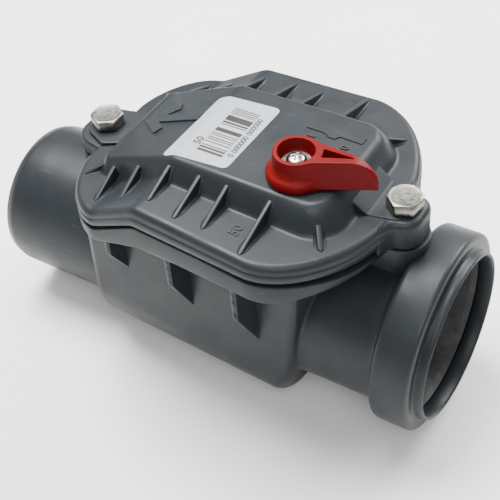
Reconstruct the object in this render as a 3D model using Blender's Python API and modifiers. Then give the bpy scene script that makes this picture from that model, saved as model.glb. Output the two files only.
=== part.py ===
"""Backwater valve for a 50 mm waste pipe: moulded housing, bolted cover, hanging flap and hand lock.

Stations run along the pipe from the spigot's end face towards the socket, and levels are heights above
the spigot's axis. One empty, valve_frame, moves the whole model so that its origin lies at the middle of
the length, on the centre plane, at the lowest level of the chamber.
"""
import math

import bmesh
import bpy
from mathutils import Matrix, Vector

MM = 0.001

# Clearances and small set values
GAP = 0.3 * MM
THREAD_GAP = 0.3 * MM
PEG_GAP = 0.4 * MM
BURY = 1.0 * MM
CUT_PAST = 1.0 * MM

# Pipe ends
PIPE_RADIUS = 25.0 * MM
SPIGOT_WALL = 2.0 * MM
SPIGOT_CHAMFER = 1.0 * MM
SPIGOT_LENGTH = 40.0 * MM
SOCKET_RISE = 4.8 * MM
SOCKET_FIT = 0.3 * MM
SOCKET_WALL = 1.6 * MM
BEAD_HEIGHT = 4.5 * MM
BEAD_WALL = 1.8 * MM
BEAD_LENGTH = 13.5 * MM
BEAD_SHOULDER = 1.5 * MM
BEAD_ROUND = 0.6 * MM
BEAD_PAST_BOLT = 3.2 * MM
LIP_LENGTH = 3.1 * MM
LIP_REACH = 1.8 * MM
MOUTH_FLARE = 0.6 * MM
GROOVE_FLOOR = 0.4 * MM
STOP_PAST_CHAMBER = 2.0 * MM

# Chamber
CHAMBER_LENGTH = 76.5 * MM
CHAMBER_WIDENING = 5.0 * MM
CHAMBER_WALL = 2.4 * MM
CHAMBER_FALL = 3.9 * MM
ROUND_AT_INLET_LESS = 5.0 * MM
ROUND_STEPS = 7
END_ROUND = 6.5 * MM

# Flanges: a low part over the outlet, a ramp, and a high part over the flap
FLANGE_BEFORE_CHAMBER = 4.5 * MM
FLANGE_PAST_CHAMBER = 20.5 * MM
RAMP_PAST_CHAMBER_START = 14.0 * MM
RAMP_LENGTH = 17.0 * MM
FLANGE_REACH = 7.0 * MM
FLANGE_SPREAD = 3.9 * MM
FLAT_END_AT_OUTLET = 13.0 * MM
FLAT_END_AT_INLET = 3.0 * MM
CORNER_RUN_AT_OUTLET = 18.0 * MM
CORNER_RUN_AT_INLET = 28.0 * MM
FULLNESS_AT_OUTLET = 1.7
FULLNESS_AT_INLET = 1.85
PARTING_OVER_PIPE = (10.8 * MM, 11.4 * MM, 19.3 * MM, 18.6 * MM, 16.8 * MM)
COVER_FLANGE_DEPTHS = (5.5 * MM, 5.9 * MM, 7.4 * MM, 6.7 * MM, 7.5 * MM)
HOUSING_FLANGE_DEPTHS = (5.4 * MM, 5.8 * MM, 8.3 * MM, 7.4 * MM, 4.3 * MM)
GASKET_THICKNESS = 0.8 * MM
GASKET_INSET = 3.4 * MM
GASKET_WIDTH = 4.0 * MM
FLANGE_EDGE_ROUND = 1.6 * MM
COVER_WALL = 2.5 * MM
COVER_RIM_WIDTH = 9.5 * MM

# Dome on the cover: its top climbs to a ridge and then runs level
RIM_AT_OUTLET = 7.5 * MM
RIM_AT_INLET = 10.0 * MM
DOME_START_SLOPE = 4.0 * MM
DOME_END_SLOPE = 4.7 * MM
DOME_SHOULDER_LENGTH = 12.0 * MM
RIDGE_PAST_RAMP = 2.3 * MM
DOME_LOW_OVER_PIPE = 22.0 * MM
DOME_TOP_OVER_PIPE = 32.7 * MM
DOME_SET_IN = 17.7 * MM
DOME_FLANK_SPREAD = 3.8 * MM
DOME_EDGE_ROUND = 1.2 * MM
START_NARROWING = (2.5 * MM, 3.6 * MM)
RISE_NARROWING = (1.2 * MM, 1.6 * MM)
SHOULDER_WIDENING = 0.9 * MM
NOSE_NARROWING = ((1.8 * MM, 0.9 * MM), (6.0 * MM, 4.4 * MM), (9.0 * MM, 8.8 * MM))

# Ribs
RIB_THICKNESS = 2.2 * MM
COVER_RIB_SHARES = (0.105, 0.219, 0.358, 0.481, 0.590, 0.757)
COVER_RIB_RIMS = (5.0 * MM, 6.2 * MM, 5.3 * MM, 3.6 * MM, 4.4 * MM, 2.2 * MM)
COVER_RIB_BELOW_TOP = 1.6 * MM
COVER_RIB_SET_IN = 2.2 * MM
CORNER_RIB_HEADINGS = (math.radians(-138.0), math.radians(-56.0))
CORNER_RIB_REACHES = (10.5 * MM, 13.0 * MM)
CORNER_RIB_SET_BACKS = (5.6 * MM, 9.0 * MM)
CORNER_RIB_SET_INS = (3.8 * MM, 3.5 * MM)
CORNER_RIB_CREST = 2.8 * MM
CORNER_RIB_BELOW_TOP = 1.2 * MM
HOUSING_RIB_SHARES = (0.224, 0.537, 0.843)
HOUSING_RIB_DROPS = (5.3 * MM, 10.8 * MM, 12.5 * MM)
HOUSING_RIB_FALL = 2.0
HOUSING_RIB_SET_IN = 0.8 * MM

# Bolted ears
EAR_OUT_AT_OUTLET = 2.0 * MM
EAR_OUT_AT_INLET = 0.2 * MM
EAR_RADIUS = 8.0 * MM
EARS_OVER_PIPE = (16.3 * MM, 23.0 * MM)
EAR_FLAT = 0.98 * EAR_RADIUS
BOLT_PAD_HEIGHT = 1.2 * MM
BOLT_PAD_RADIUS = 6.8 * MM
BOLT_PAD_FLARE = 1.0 * MM
BOLT_RADIUS = 3.0 * MM
BOLT_LENGTH = 12.0 * MM
BOLT_HEAD_ACROSS = 9.5 * MM
BOLT_HEAD_HEIGHT = 4.0 * MM
INSERT_RADIUS = 4.0 * MM
INSERT_LENGTH = 4.0 * MM
BOSS_FLOOR = 2.6 * MM
BRIDGE_HALF_WIDTH = 7.7 * MM
BRIDGE_ROOT = 6.0 * MM
BRIDGE_SET_BACK = 12.0 * MM
BRIDGE_RUN = 5.8 * MM
BRIDGE_BELOW_TOP = 3.3 * MM
BRIDGE_OVER_EAR = 2.0 * MM
BRIDGE_DEPTH = 3.0 * MM

# Seat, hinge and flap
SEAT_WALL = 2.8 * MM
SEAT_TILT = math.radians(8.0)
HINGE_BEFORE_END = 18.1 * MM
HINGE_OVER_PIPE = 8.0 * MM
PIN_RADIUS = 1.5 * MM
PIN_END_PLAY = 0.4 * MM
LUG_OVER_RADIUS = 0.68
LUG_THICKNESS = 3.0 * MM
LUG_REACH = 3.4 * MM
BARREL_RADIUS = 3.2 * MM
FLAP_THICKNESS = 2.5 * MM
FLAP_OVERLAP = 2.2 * MM
FLAP_NECK_HALF_WIDTH = 12.0 * MM
FLAP_RIB_HEIGHT = 2.6 * MM
SEAL_THICKNESS = 1.8 * MM
SEAL_INSIDE_SCREWS = 4.5 * MM
CLAMP_THICKNESS = 1.5 * MM
CLAMP_CLEARANCE = 2.0 * MM
CLAMP_EDGE = 0.5 * MM
SCREWS_INSIDE_PASSAGE = 6.5 * MM
SMALL_SCREW_RADIUS = 1.5 * MM
SMALL_HEAD_RADIUS = 2.8 * MM
SMALL_HEAD_HEIGHT = 1.6 * MM
TAIL_HEIGHT = 9.5 * MM
TAIL_THICKNESS = 2.4 * MM
TAIL_WIDTH = 8.0 * MM

# Lock: lever, spindle and cam with a hanging peg
LOCK_SET_IN = 9.3 * MM
PEG_CIRCLE = 7.0 * MM
PEG_RADIUS = 2.0 * MM
PEG_CLEAR_OVER_PIN = 5.5 * MM
CAM_RADIUS = 9.0 * MM
CAM_THICKNESS = 3.0 * MM
CAM_EDGE = 0.5 * MM
SPINDLE_RADIUS = 3.5 * MM
SPINDLE_JOURNAL = 2.8 * MM
SPINDLE_TAIL = 1.4 * MM
BOSS_RADIUS = 6.8 * MM
BOSS_DROP = 5.6 * MM
RING_SECTION = 0.5 * MM
RING_ROOM = 0.1 * MM
RING_SPACING = 3.0 * MM
GROOVE_PLAY = 0.2 * MM
CLIP_THICKNESS = 0.6 * MM
CLIP_BAND = 1.7 * MM
CLIP_GROOVE_DEPTH = 0.6 * MM
KNOB_HEIGHT = 8.8 * MM
KNOB_BASE_RADIUS = 9.0 * MM
KNOB_RIM_RADIUS = 6.7 * MM
KNOB_OPENING = 5.2 * MM
KNOB_FLOOR = 3.9 * MM
KNOB_EDGE = 0.5 * MM
KNOB_SOCKET_DEPTH = 2.8 * MM
LEVER_REACH = 23.6 * MM
LEVER_ROOT_HALF_WIDTH = 5.0 * MM
LEVER_TIP_HALF_WIDTH = 0.9 * MM
LEVER_BROW_RUN = 7.5 * MM
LEVER_BROW_FALL = 5.0 * MM
LEVER_BELOW_RIM = 0.65 * MM
LEVER_OVER_COVER = 0.2 * MM
LEVER_POCKET_DEPTH = 1.6 * MM
LEVER_ANGLE = math.radians(10.5)
LEVER_SCREW_LENGTH = 11.0 * MM
LEVER_SCREW_TIP_ROOM = 0.8 * MM
LEVER_HEAD_RADIUS = 3.1 * MM
LEVER_HEAD_HEIGHT = 2.0 * MM
WASHER_THICKNESS = 0.7 * MM
WASHER_RADIUS = 4.2 * MM

# Label
LABEL_BEFORE_RIDGE = 4.0 * MM
LABEL_TO_KNOB = 9.8 * MM
LABEL_SET_IN = 1.3 * MM
LABEL_WIDTH = 30.6 * MM
LABEL_THICKNESS = 0.25 * MM

# Stations along the pipe that follow from the sizes above
CHAMBER_START = SPIGOT_LENGTH
CHAMBER_END = CHAMBER_START + CHAMBER_LENGTH
FLANGE_START = CHAMBER_START - FLANGE_BEFORE_CHAMBER
FLANGE_END = CHAMBER_END + FLANGE_PAST_CHAMBER
RAMP_FOOT = CHAMBER_START + RAMP_PAST_CHAMBER_START
RAMP_HEAD = RAMP_FOOT + RAMP_LENGTH
DOME_START = FLANGE_START + RIM_AT_OUTLET
DOME_TOP_START = DOME_START + DOME_START_SLOPE
DOME_RIDGE = RAMP_HEAD + RIDGE_PAST_RAMP
DOME_END = FLANGE_END - RIM_AT_INLET
DOME_TOP_END = DOME_END - DOME_END_SLOPE
DOME_SHOULDER = DOME_END - DOME_SHOULDER_LENGTH
BOLT_STATIONS = (FLANGE_START - EAR_OUT_AT_OUTLET, FLANGE_END + EAR_OUT_AT_INLET)
BEAD_START = BOLT_STATIONS[1] + BEAD_PAST_BOLT
BEAD_END = BEAD_START + BEAD_LENGTH
LENGTH = BEAD_END + LIP_LENGTH
GROOVE_START = BEAD_START + BEAD_WALL + GROOVE_FLOOR
GROOVE_END = BEAD_END - BEAD_WALL
PIPE_STOP = CHAMBER_END + STOP_PAST_CHAMBER
BRIDGE_HEAD = FLANGE_END - BRIDGE_SET_BACK
BRIDGE_FOOT = BRIDGE_HEAD + BRIDGE_RUN
HINGE_STATION = CHAMBER_END - HINGE_BEFORE_END
LOCK_STATION = HINGE_STATION + TAIL_THICKNESS / 2 + PEG_GAP + PEG_RADIUS + PEG_CIRCLE
LABEL_START = DOME_RIDGE - LABEL_BEFORE_RIDGE
LABEL_END = LOCK_STATION - KNOB_BASE_RADIUS - LABEL_TO_KNOB

# Radii and widths that follow
SOCKET_BORE = PIPE_RADIUS + SOCKET_FIT
SOCKET_OUTER = SOCKET_BORE + SOCKET_WALL
BEAD_OUTER = SOCKET_OUTER + BEAD_HEIGHT
GROOVE_RADIUS = BEAD_OUTER - BEAD_WALL
PASSAGE_RADIUS = PIPE_RADIUS - SPIGOT_WALL
SEAT_OUTER = PASSAGE_RADIUS + SEAT_WALL
FLAP_RADIUS = PASSAGE_RADIUS + FLAP_OVERLAP
CLAMP_SCREW_CIRCLE = PASSAGE_RADIUS - SCREWS_INSIDE_PASSAGE
SEAL_INNER_RADIUS = CLAMP_SCREW_CIRCLE - SEAL_INSIDE_SCREWS
LUG_INNER = LUG_OVER_RADIUS * PIPE_RADIUS
LUG_OUTER = LUG_INNER + LUG_THICKNESS
CHAMBER_HALF_WIDTH = PIPE_RADIUS + CHAMBER_WIDENING
ROUND_AT_OUTLET = PIPE_RADIUS
ROUND_AT_INLET = ROUND_AT_OUTLET - ROUND_AT_INLET_LESS
HALF_WIDTH_AT_OUTLET = CHAMBER_HALF_WIDTH + FLANGE_REACH
HALF_WIDTH_AT_INLET = HALF_WIDTH_AT_OUTLET + FLANGE_SPREAD
DOME_HALF_WIDTH = HALF_WIDTH_AT_OUTLET - DOME_SET_IN
LABEL_LOW_SIDE = -(DOME_HALF_WIDTH - LABEL_SET_IN)
LOCK_ACROSS = -(DOME_HALF_WIDTH - LOCK_SET_IN)

# Levels that follow
AXIS_LEVEL = PIPE_RADIUS + CHAMBER_FALL
PARTING_LEVELS = tuple(PIPE_RADIUS + rise for rise in PARTING_OVER_PIPE)
PARTING_GAP = GASKET_THICKNESS + 2 * GAP
DOME_LOW_LEVEL = PIPE_RADIUS + DOME_LOW_OVER_PIPE
DOME_TOP_LEVEL = PIPE_RADIUS + DOME_TOP_OVER_PIPE
EAR_TOPS = tuple(PIPE_RADIUS + rise for rise in EARS_OVER_PIPE)
BRIDGE_HEAD_LEVEL = DOME_TOP_LEVEL - BRIDGE_BELOW_TOP
BRIDGE_FOOT_LEVEL = EAR_TOPS[1] + BRIDGE_OVER_EAR
HINGE_LEVEL = PIPE_RADIUS + HINGE_OVER_PIPE
FLAP_DROP = (HINGE_LEVEL - SOCKET_RISE) / math.cos(SEAT_TILT)
SEAT_STANDOFF = FLAP_THICKNESS / 2 + GAP + SEAL_THICKNESS + GAP
PEG_FOOT = HINGE_LEVEL + PEG_CLEAR_OVER_PIN
BOSS_FOOT = DOME_TOP_LEVEL - COVER_WALL - BOSS_DROP
CAM_TOP = BOSS_FOOT - GAP
CAM_FOOT = CAM_TOP - CAM_THICKNESS
KNOB_FOOT = DOME_TOP_LEVEL + GAP
KNOB_TOP = KNOB_FOOT + KNOB_HEIGHT
SPINDLE_TOP = KNOB_FOOT + KNOB_SOCKET_DEPTH - GAP

FRAME_SHIFT = Vector((-LENGTH / 2, 0.0, AXIS_LEVEL))
ACROSS = Matrix.Rotation(math.radians(90.0), 4, "Y")
SIDEWAYS = Matrix.Rotation(math.radians(-90.0), 4, "X")


def clear_scene():
    for old in list(bpy.data.objects):
        bpy.data.objects.remove(old, do_unlink=True)


def collection(name):
    made = bpy.data.collections.new(name)
    bpy.context.scene.collection.children.link(made)
    return made


clear_scene()
PARTS = collection("backwater_valve")
CUTTERS = collection("cutters")
FRAME = bpy.data.objects.new("valve_frame", None)
FRAME.location = FRAME_SHIFT
PARTS.objects.link(FRAME)


def axis_empty(name, station, across, level):
    """Empty on a joint's axis, carried by the frame."""
    empty = bpy.data.objects.new(name, None)
    empty.parent = FRAME
    empty.location = (station, across, level)
    PARTS.objects.link(empty)
    return empty


FLAP_AXIS = axis_empty("flap_axis", HINGE_STATION, 0.0, HINGE_LEVEL)
LEVER_AXIS = axis_empty("lever_axis", LOCK_STATION, LOCK_ACROSS, DOME_TOP_LEVEL)


def material(name, colour, roughness, metallic=0.0):
    made = bpy.data.materials.new(name)
    made.use_nodes = True
    surface = made.node_tree.nodes["Principled BSDF"]
    surface.inputs["Base Color"].default_value = (*colour, 1.0)
    surface.inputs["Roughness"].default_value = roughness
    surface.inputs["Metallic"].default_value = metallic
    return made


def mesh_from(bm, name):
    bmesh.ops.recalc_face_normals(bm, faces=bm.faces)
    if bm.calc_volume(signed=True) < 0.0:
        bmesh.ops.reverse_faces(bm, faces=bm.faces)
    mesh = bpy.data.meshes.new(name)
    bm.to_mesh(mesh)
    bm.free()
    return mesh


def drum(name, centre, radius, length, turn=ACROSS, segments=48):
    """Cylinder with its middle at centre; turn lays its axis along the pipe unless told otherwise."""
    bm = bmesh.new()
    bmesh.ops.create_cone(bm, cap_ends=True, segments=segments, radius1=radius, radius2=radius,
                          depth=length, matrix=Matrix.Translation(centre) @ turn)
    return mesh_from(bm, name)


def upright(name, station, across, low, high, radius, segments=32, top_radius=None):
    """Upright cylinder or cone between two levels."""
    bm = bmesh.new()
    top = radius if top_radius is None else top_radius
    place = Matrix.Translation((station, across, (low + high) / 2))
    bmesh.ops.create_cone(bm, cap_ends=True, segments=segments, radius1=radius, radius2=top,
                          depth=high - low, matrix=place)
    return mesh_from(bm, name)


def block(name, low, high, place=Matrix.Identity(4)):
    """Box between two corners."""
    low = Vector(low)
    high = Vector(high)
    size = high - low
    bm = bmesh.new()
    shape = Matrix.Translation((low + high) / 2) @ Matrix.Diagonal((*size, 1.0))
    bmesh.ops.create_cube(bm, size=1.0, matrix=place @ shape)
    return mesh_from(bm, name)


def prism(name, outline, plane, low, high, place=Matrix.Identity(4)):
    """Flat outline pushed along the axis that its plane leaves out."""
    bm = bmesh.new()
    lift = {"XY": lambda a, b, c: (a, b, c), "XZ": lambda a, b, c: (a, c, b),
            "YZ": lambda a, b, c: (c, a, b)}[plane]
    base = [bm.verts.new(lift(a, b, low)) for a, b in outline]
    face = bm.faces.new(base)
    pushed = bmesh.ops.extrude_face_region(bm, geom=[face])["geom"]
    move = Vector(lift(0.0, 0.0, high - low))
    bmesh.ops.translate(bm, vec=move, verts=[v for v in pushed if isinstance(v, bmesh.types.BMVert)])
    bm.transform(place)
    return mesh_from(bm, name)


def loft(name, rings):
    """Closed skin over rings with the same number of points, with a flat cap at each end."""
    bm = bmesh.new()
    rows = [[bm.verts.new(point) for point in ring] for ring in rings]
    count = len(rows[0])
    for near, far in zip(rows, rows[1:]):
        for k in range(count):
            after = (k + 1) % count
            bm.faces.new((near[k], near[after], far[after], far[k]))
    bm.faces.new(rows[0])
    bm.faces.new(rows[-1])
    return mesh_from(bm, name)


def turned(name, profile, place, steps=48):
    """Screw a profile of (radius, along) points once round its own upright axis, then place it.

    A profile that starts and ends on the axis makes a solid, and any other one is closed into a ring.
    """
    on_axis = profile[0][0] == 0.0 and profile[-1][0] == 0.0
    mesh = bpy.data.meshes.new(name)
    edges = [(k, k + 1) for k in range(len(profile) - 1)]
    if not on_axis:
        edges.append((len(profile) - 1, 0))
    mesh.from_pydata([(radius, 0.0, along) for radius, along in profile], edges, [])
    lathe = bpy.data.objects.new(name, mesh)
    bpy.context.scene.collection.objects.link(lathe)
    screw = lathe.modifiers.new("turn", "SCREW")
    screw.steps = steps
    screw.render_steps = steps
    screw.use_merge_vertices = True
    screw.merge_threshold = 0.00001
    bpy.context.view_layer.update()
    solid = bpy.data.meshes.new_from_object(lathe.evaluated_get(bpy.context.evaluated_depsgraph_get()))
    bpy.data.objects.remove(lathe)
    bm = bmesh.new()
    bm.from_mesh(solid)
    bmesh.ops.remove_doubles(bm, verts=bm.verts, dist=0.000005)
    bm.transform(place)
    return mesh_from(bm, name)


def together(name, meshes):
    """One mesh that holds several bodies that stand apart."""
    bm = bmesh.new()
    for mesh in meshes:
        bm.from_mesh(mesh)
    return mesh_from(bm, name)


def part(name, mesh, look, carrier=FRAME):
    """Named sub-part from a mesh in stations and levels, carried by the frame or by a joint's empty."""
    made = bpy.data.objects.new(name, mesh)
    made.parent = carrier
    if carrier is not FRAME:
        made.matrix_parent_inverse = Matrix.Translation(carrier.location).inverted()
    mesh.materials.clear()
    mesh.materials.append(look)
    mesh.shade_smooth()
    mesh.set_sharp_from_angle(angle=math.radians(30.0))
    PARTS.objects.link(made)
    return made


def combine(target, operation, *meshes):
    """Join meshes to a part or cut them from it, one live Boolean each."""
    for mesh in meshes:
        tool = bpy.data.objects.new(f"{target.name}_{mesh.name}", mesh)
        tool.parent = target.parent
        tool.matrix_parent_inverse = target.matrix_parent_inverse.copy()
        tool.hide_render = True
        tool.display_type = "WIRE"
        CUTTERS.objects.link(tool)
        step = target.modifiers.new(mesh.name, "BOOLEAN")
        step.operation = operation
        step.solver = "EXACT"
        step.object = tool


def between(value, marks, levels):
    """Straight-line reading between marks, held level outside them."""
    if value <= marks[0]:
        return levels[0]
    for k in range(len(marks) - 1):
        if value <= marks[k + 1]:
            share = (value - marks[k]) / (marks[k + 1] - marks[k])
            return levels[k] + share * (levels[k + 1] - levels[k])
    return levels[-1]


FLANGE_MARKS = (FLANGE_START, RAMP_FOOT, RAMP_HEAD, FLANGE_END - CORNER_RUN_AT_INLET, FLANGE_END)
COVER_RIB_STATIONS = [DOME_START + share * (DOME_END - DOME_START) for share in COVER_RIB_SHARES]
HOUSING_RIB_STATIONS = [CHAMBER_START + share * CHAMBER_LENGTH for share in HOUSING_RIB_SHARES]


def parting_level(station):
    return between(station, FLANGE_MARKS, PARTING_LEVELS)


def cover_flange_top(station):
    return parting_level(station) + between(station, FLANGE_MARKS, COVER_FLANGE_DEPTHS)


def housing_flange_foot(station):
    return parting_level(station) - between(station, FLANGE_MARKS, HOUSING_FLANGE_DEPTHS)


def housing_top(station):
    return parting_level(station) - PARTING_GAP / 2


def cover_foot(station):
    return parting_level(station) + PARTING_GAP / 2


def bolt_seat(bolt):
    """Level of the underside of a bolt's head, on the raised pad or on the spot face."""
    pad_height = BOLT_PAD_HEIGHT if bolt == 0 else 0.0
    return EAR_TOPS[bolt] + pad_height + GAP


def insert_foot(bolt):
    """Level of the floor under an insert, clear of the bolt's tip as well."""
    lowest = min(housing_top(BOLT_STATIONS[bolt]) - INSERT_LENGTH, bolt_seat(bolt) - BOLT_LENGTH)
    return lowest - GAP


def corner_rise(past, run, fullness):
    """Share of a corner's width that is left at a distance past its start; it lies between a chamfer, whose
    fullness would be 1, and an ellipse, whose fullness would be 2."""
    share = min(past / run, 1.0)
    return (1.0 - share ** fullness) ** (1.0 / fullness)


def flange_half_width(station, inset=0.0):
    """Half width of the flange's plan: a full corner at each end and straight sides between."""
    near = FLANGE_START + CORNER_RUN_AT_OUTLET
    far = FLANGE_END - CORNER_RUN_AT_INLET
    if station < near:
        rise = corner_rise(near - station, CORNER_RUN_AT_OUTLET - inset, FULLNESS_AT_OUTLET)
        return FLAT_END_AT_OUTLET + (HALF_WIDTH_AT_OUTLET - FLAT_END_AT_OUTLET - inset) * rise
    if station > far:
        rise = corner_rise(station - far, CORNER_RUN_AT_INLET - inset, FULLNESS_AT_INLET)
        return FLAT_END_AT_INLET + (HALF_WIDTH_AT_INLET - FLAT_END_AT_INLET - inset) * rise
    share = (station - near) / (far - near)
    return HALF_WIDTH_AT_OUTLET + share * (HALF_WIDTH_AT_INLET - HALF_WIDTH_AT_OUTLET) - inset


def flange_stations(inset=0.0, near_steps=5, far_steps=8):
    """Stations along the plan: closer together round the corners, with one at each bend of the ramp."""
    near = FLANGE_START + CORNER_RUN_AT_OUTLET
    far = FLANGE_END - CORNER_RUN_AT_INLET
    quarter = math.pi / 2
    found = [near - (CORNER_RUN_AT_OUTLET - inset)
             * math.cos(quarter * k / near_steps) ** (2.0 / FULLNESS_AT_OUTLET) for k in range(near_steps + 1)]
    found += [far + (CORNER_RUN_AT_INLET - inset)
              * math.sin(quarter * k / far_steps) ** (2.0 / FULLNESS_AT_INLET) for k in range(far_steps + 1)]
    found += [RAMP_FOOT, RAMP_HEAD]
    return sorted(found)


def flange_band(name, inset, foot, top, edge=0.0, lift=0.0, drop=0.0):
    """Slab between two levels that follows the plan and the bends; edge rounds its top rim."""
    rings = []
    for station in flange_stations(inset):
        half = flange_half_width(station, inset)
        low = foot(station) - drop
        high = top(station) + lift
        side = [(half, low), (half, high)]
        if edge > 0.0:
            side = [(half, low), (half, high - edge), (half - 0.3 * edge, high - 0.3 * edge),
                    (half - edge, high)]
        ring = [(station, y, z) for y, z in side]
        ring += [(station, -y, z) for y, z in reversed(side)]
        rings.append(ring)
    return loft(name, rings)


def chamber_floor(station):
    """Level of the chamber's underside, which falls towards the inlet."""
    share = (station - CHAMBER_START) / (CHAMBER_END - CHAMBER_START)
    return -PIPE_RADIUS - CHAMBER_FALL * share


def chamber_body(name, wall, rise):
    """Trough with upright sides and a rounded floor, narrowed at both ends into round corners."""
    first = CHAMBER_START + wall
    last = CHAMBER_END - wall
    bend = END_ROUND - wall
    ends = [(first, 0.55 * bend), (first + 0.2 * bend, 0.2 * bend), (first + 0.6 * bend, 0.0)]
    ends += [(RAMP_FOOT, 0.0), (RAMP_HEAD, 0.0)]
    ends += [(last - bend, 0.0), (last - 0.3 * bend, 0.3 * bend), (last, bend)]
    rings = []
    for station, inset in ends:
        share = (station - CHAMBER_START) / (CHAMBER_END - CHAMBER_START)
        bow = ROUND_AT_OUTLET + share * (ROUND_AT_INLET - ROUND_AT_OUTLET) - wall - inset
        half = CHAMBER_HALF_WIDTH - wall - inset
        floor = chamber_floor(station) + wall + inset
        side = [(half, parting_level(station) + rise)]
        for k in range(ROUND_STEPS + 1):
            angle = math.pi / 2 * k / ROUND_STEPS
            side.append((half - bow + bow * math.cos(angle), floor + bow - bow * math.sin(angle)))
        ring = [(station, y, z) for y, z in side]
        ring += [(station, -y, z) for y, z in reversed(side)]
        rings.append(ring)
    return loft(name, rings)


GREY = material("grey polypropylene", (0.125, 0.140, 0.147), 0.42)
GREY_COVER = material("grey polypropylene cover", (0.135, 0.152, 0.160), 0.38)
BLACK_RUBBER = material("black rubber", (0.012, 0.012, 0.012), 0.65)
ZINC = material("zinc plated steel", (0.55, 0.54, 0.50), 0.30, 1.0)
BRASS = material("brass", (0.60, 0.43, 0.18), 0.35, 1.0)
STAINLESS = material("stainless steel", (0.58, 0.58, 0.57), 0.28, 1.0)
DARK_GREY = material("dark grey acetal", (0.045, 0.047, 0.050), 0.45)
RED = material("red polypropylene", (0.46, 0.013, 0.012), 0.40)
WHITE_FILM = material("white label film", (0.68, 0.70, 0.72), 0.45)


def build_housing():
    """Spigot, chamber, flange and socket moulded in one, with the seat and hinge lugs inside."""
    housing = part("housing", chamber_body("housing", 0.0, -PARTING_GAP / 2 - BURY), GREY)
    spigot_end = CHAMBER_START + END_ROUND
    spigot = turned("spigot", [
        (0.0, spigot_end), (PIPE_RADIUS, spigot_end), (PIPE_RADIUS, 4 * SPIGOT_CHAMFER),
        (PIPE_RADIUS - SPIGOT_CHAMFER, 0.0), (0.0, 0.0)], ACROSS)
    socket_start = CHAMBER_END - 0.6 * END_ROUND
    socket_place = Matrix.Translation((0.0, 0.0, SOCKET_RISE)) @ ACROSS
    socket = turned("socket", [
        (0.0, LENGTH), (SOCKET_OUTER - 0.25 * SOCKET_WALL, LENGTH), (SOCKET_OUTER, LENGTH - BEAD_ROUND),
        (SOCKET_OUTER, BEAD_END), (BEAD_OUTER - BEAD_ROUND, BEAD_END),
        (BEAD_OUTER, BEAD_END - 1.5 * BEAD_ROUND), (BEAD_OUTER, BEAD_START + 1.8 * BEAD_SHOULDER),
        (BEAD_OUTER - BEAD_ROUND, BEAD_START + 0.8 * BEAD_SHOULDER), (SOCKET_OUTER, BEAD_START),
        (SOCKET_OUTER, socket_start), (0.0, socket_start)], socket_place)
    flange = flange_band("flange", 0.0, housing_flange_foot, housing_top)
    bosses = []
    for bolt, station in enumerate(BOLT_STATIONS):
        top = housing_top(station)
        foot = insert_foot(bolt) - BOSS_FLOOR
        inward = FLANGE_START + 0.6 * EAR_RADIUS
        if bolt == 1:
            foot = SOCKET_RISE + SOCKET_BORE
            inward = FLANGE_END - 0.6 * EAR_RADIUS
        bosses.append(upright(f"boss_{bolt}", station, 0.0, foot, top, EAR_RADIUS, 28))
        low = max(foot, housing_flange_foot(station) + BEAD_ROUND)
        bosses.append(block(f"boss_web_{bolt}", (min(station, inward), -EAR_FLAT, low),
                            (max(station, inward), EAR_FLAT, top - 0.2 * BURY)))
    combine(housing, "UNION", spigot, socket, flange, *bosses)

    ribs = []
    for station, drop in zip(HOUSING_RIB_STATIONS, HOUSING_RIB_DROPS):
        foot = housing_flange_foot(station)
        outer = flange_half_width(station) - HOUSING_RIB_SET_IN
        wall_face = CHAMBER_HALF_WIDTH - 0.5 * CHAMBER_WALL
        outline = [(wall_face, foot + BURY), (outer, foot + BURY), (outer, foot - drop),
                   (wall_face, foot - drop - HOUSING_RIB_FALL * (outer - wall_face))]
        for side in (1.0, -1.0):
            ribs.append(prism(f"rib_{station:.4f}_{side:+.0f}", [(side * y, z) for y, z in outline], "YZ",
                              station - RIB_THICKNESS / 2, station + RIB_THICKNESS / 2))
    combine(housing, "UNION", together("under_ribs", ribs))

    hollow = chamber_body("chamber_hollow", CHAMBER_WALL, 4 * CUT_PAST)
    spigot_bore = drum("spigot_bore", (CHAMBER_START / 2, 0.0, 0.0), PASSAGE_RADIUS,
                       CHAMBER_START + 2 * END_ROUND)
    lead = 4 * MOUTH_FLARE
    socket_bore = turned("socket_bore", [
        (0.0, LENGTH + CUT_PAST), (SOCKET_BORE + MOUTH_FLARE, LENGTH + CUT_PAST),
        (SOCKET_BORE + MOUTH_FLARE, LENGTH), (SOCKET_BORE, LENGTH - lead), (SOCKET_BORE, GROOVE_END),
        (GROOVE_RADIUS, GROOVE_END), (GROOVE_RADIUS, GROOVE_START), (SOCKET_BORE, GROOVE_START),
        (SOCKET_BORE, PIPE_STOP), (0.0, PIPE_STOP)], socket_place)
    combine(housing, "DIFFERENCE", hollow, spigot_bore, socket_bore)

    wall_middle = CHAMBER_END - CHAMBER_WALL / 2
    turns = [2 * math.pi * k / 48 for k in range(48)]
    rims = [(SEAT_OUTER * math.cos(t), SOCKET_RISE + SEAT_OUTER * math.sin(t)) for t in turns]
    seat_rings = [[(seat_station(z), y, z) for y, z in rims], [(wall_middle, y, z) for y, z in rims]]
    seat = loft("seat", seat_rings)
    lugs = []
    root = seat_station(HINGE_LEVEL) + BURY
    shelf = SOCKET_RISE + 0.45 * SEAT_OUTER
    lug_top = HINGE_LEVEL + LUG_REACH
    lug_end = HINGE_STATION - LUG_REACH
    outline = [(root, shelf), (wall_middle, shelf), (wall_middle, lug_top), (lug_end, lug_top),
               (lug_end, HINGE_LEVEL - LUG_REACH), (root, HINGE_LEVEL - LUG_REACH)]
    for side in (1.0, -1.0):
        faces = sorted((side * LUG_INNER, side * LUG_OUTER))
        lugs.append(prism(f"lug_{side:+.0f}", outline, "XZ", *faces))
    combine(housing, "UNION", seat, together("hinge_lugs", lugs))

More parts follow.
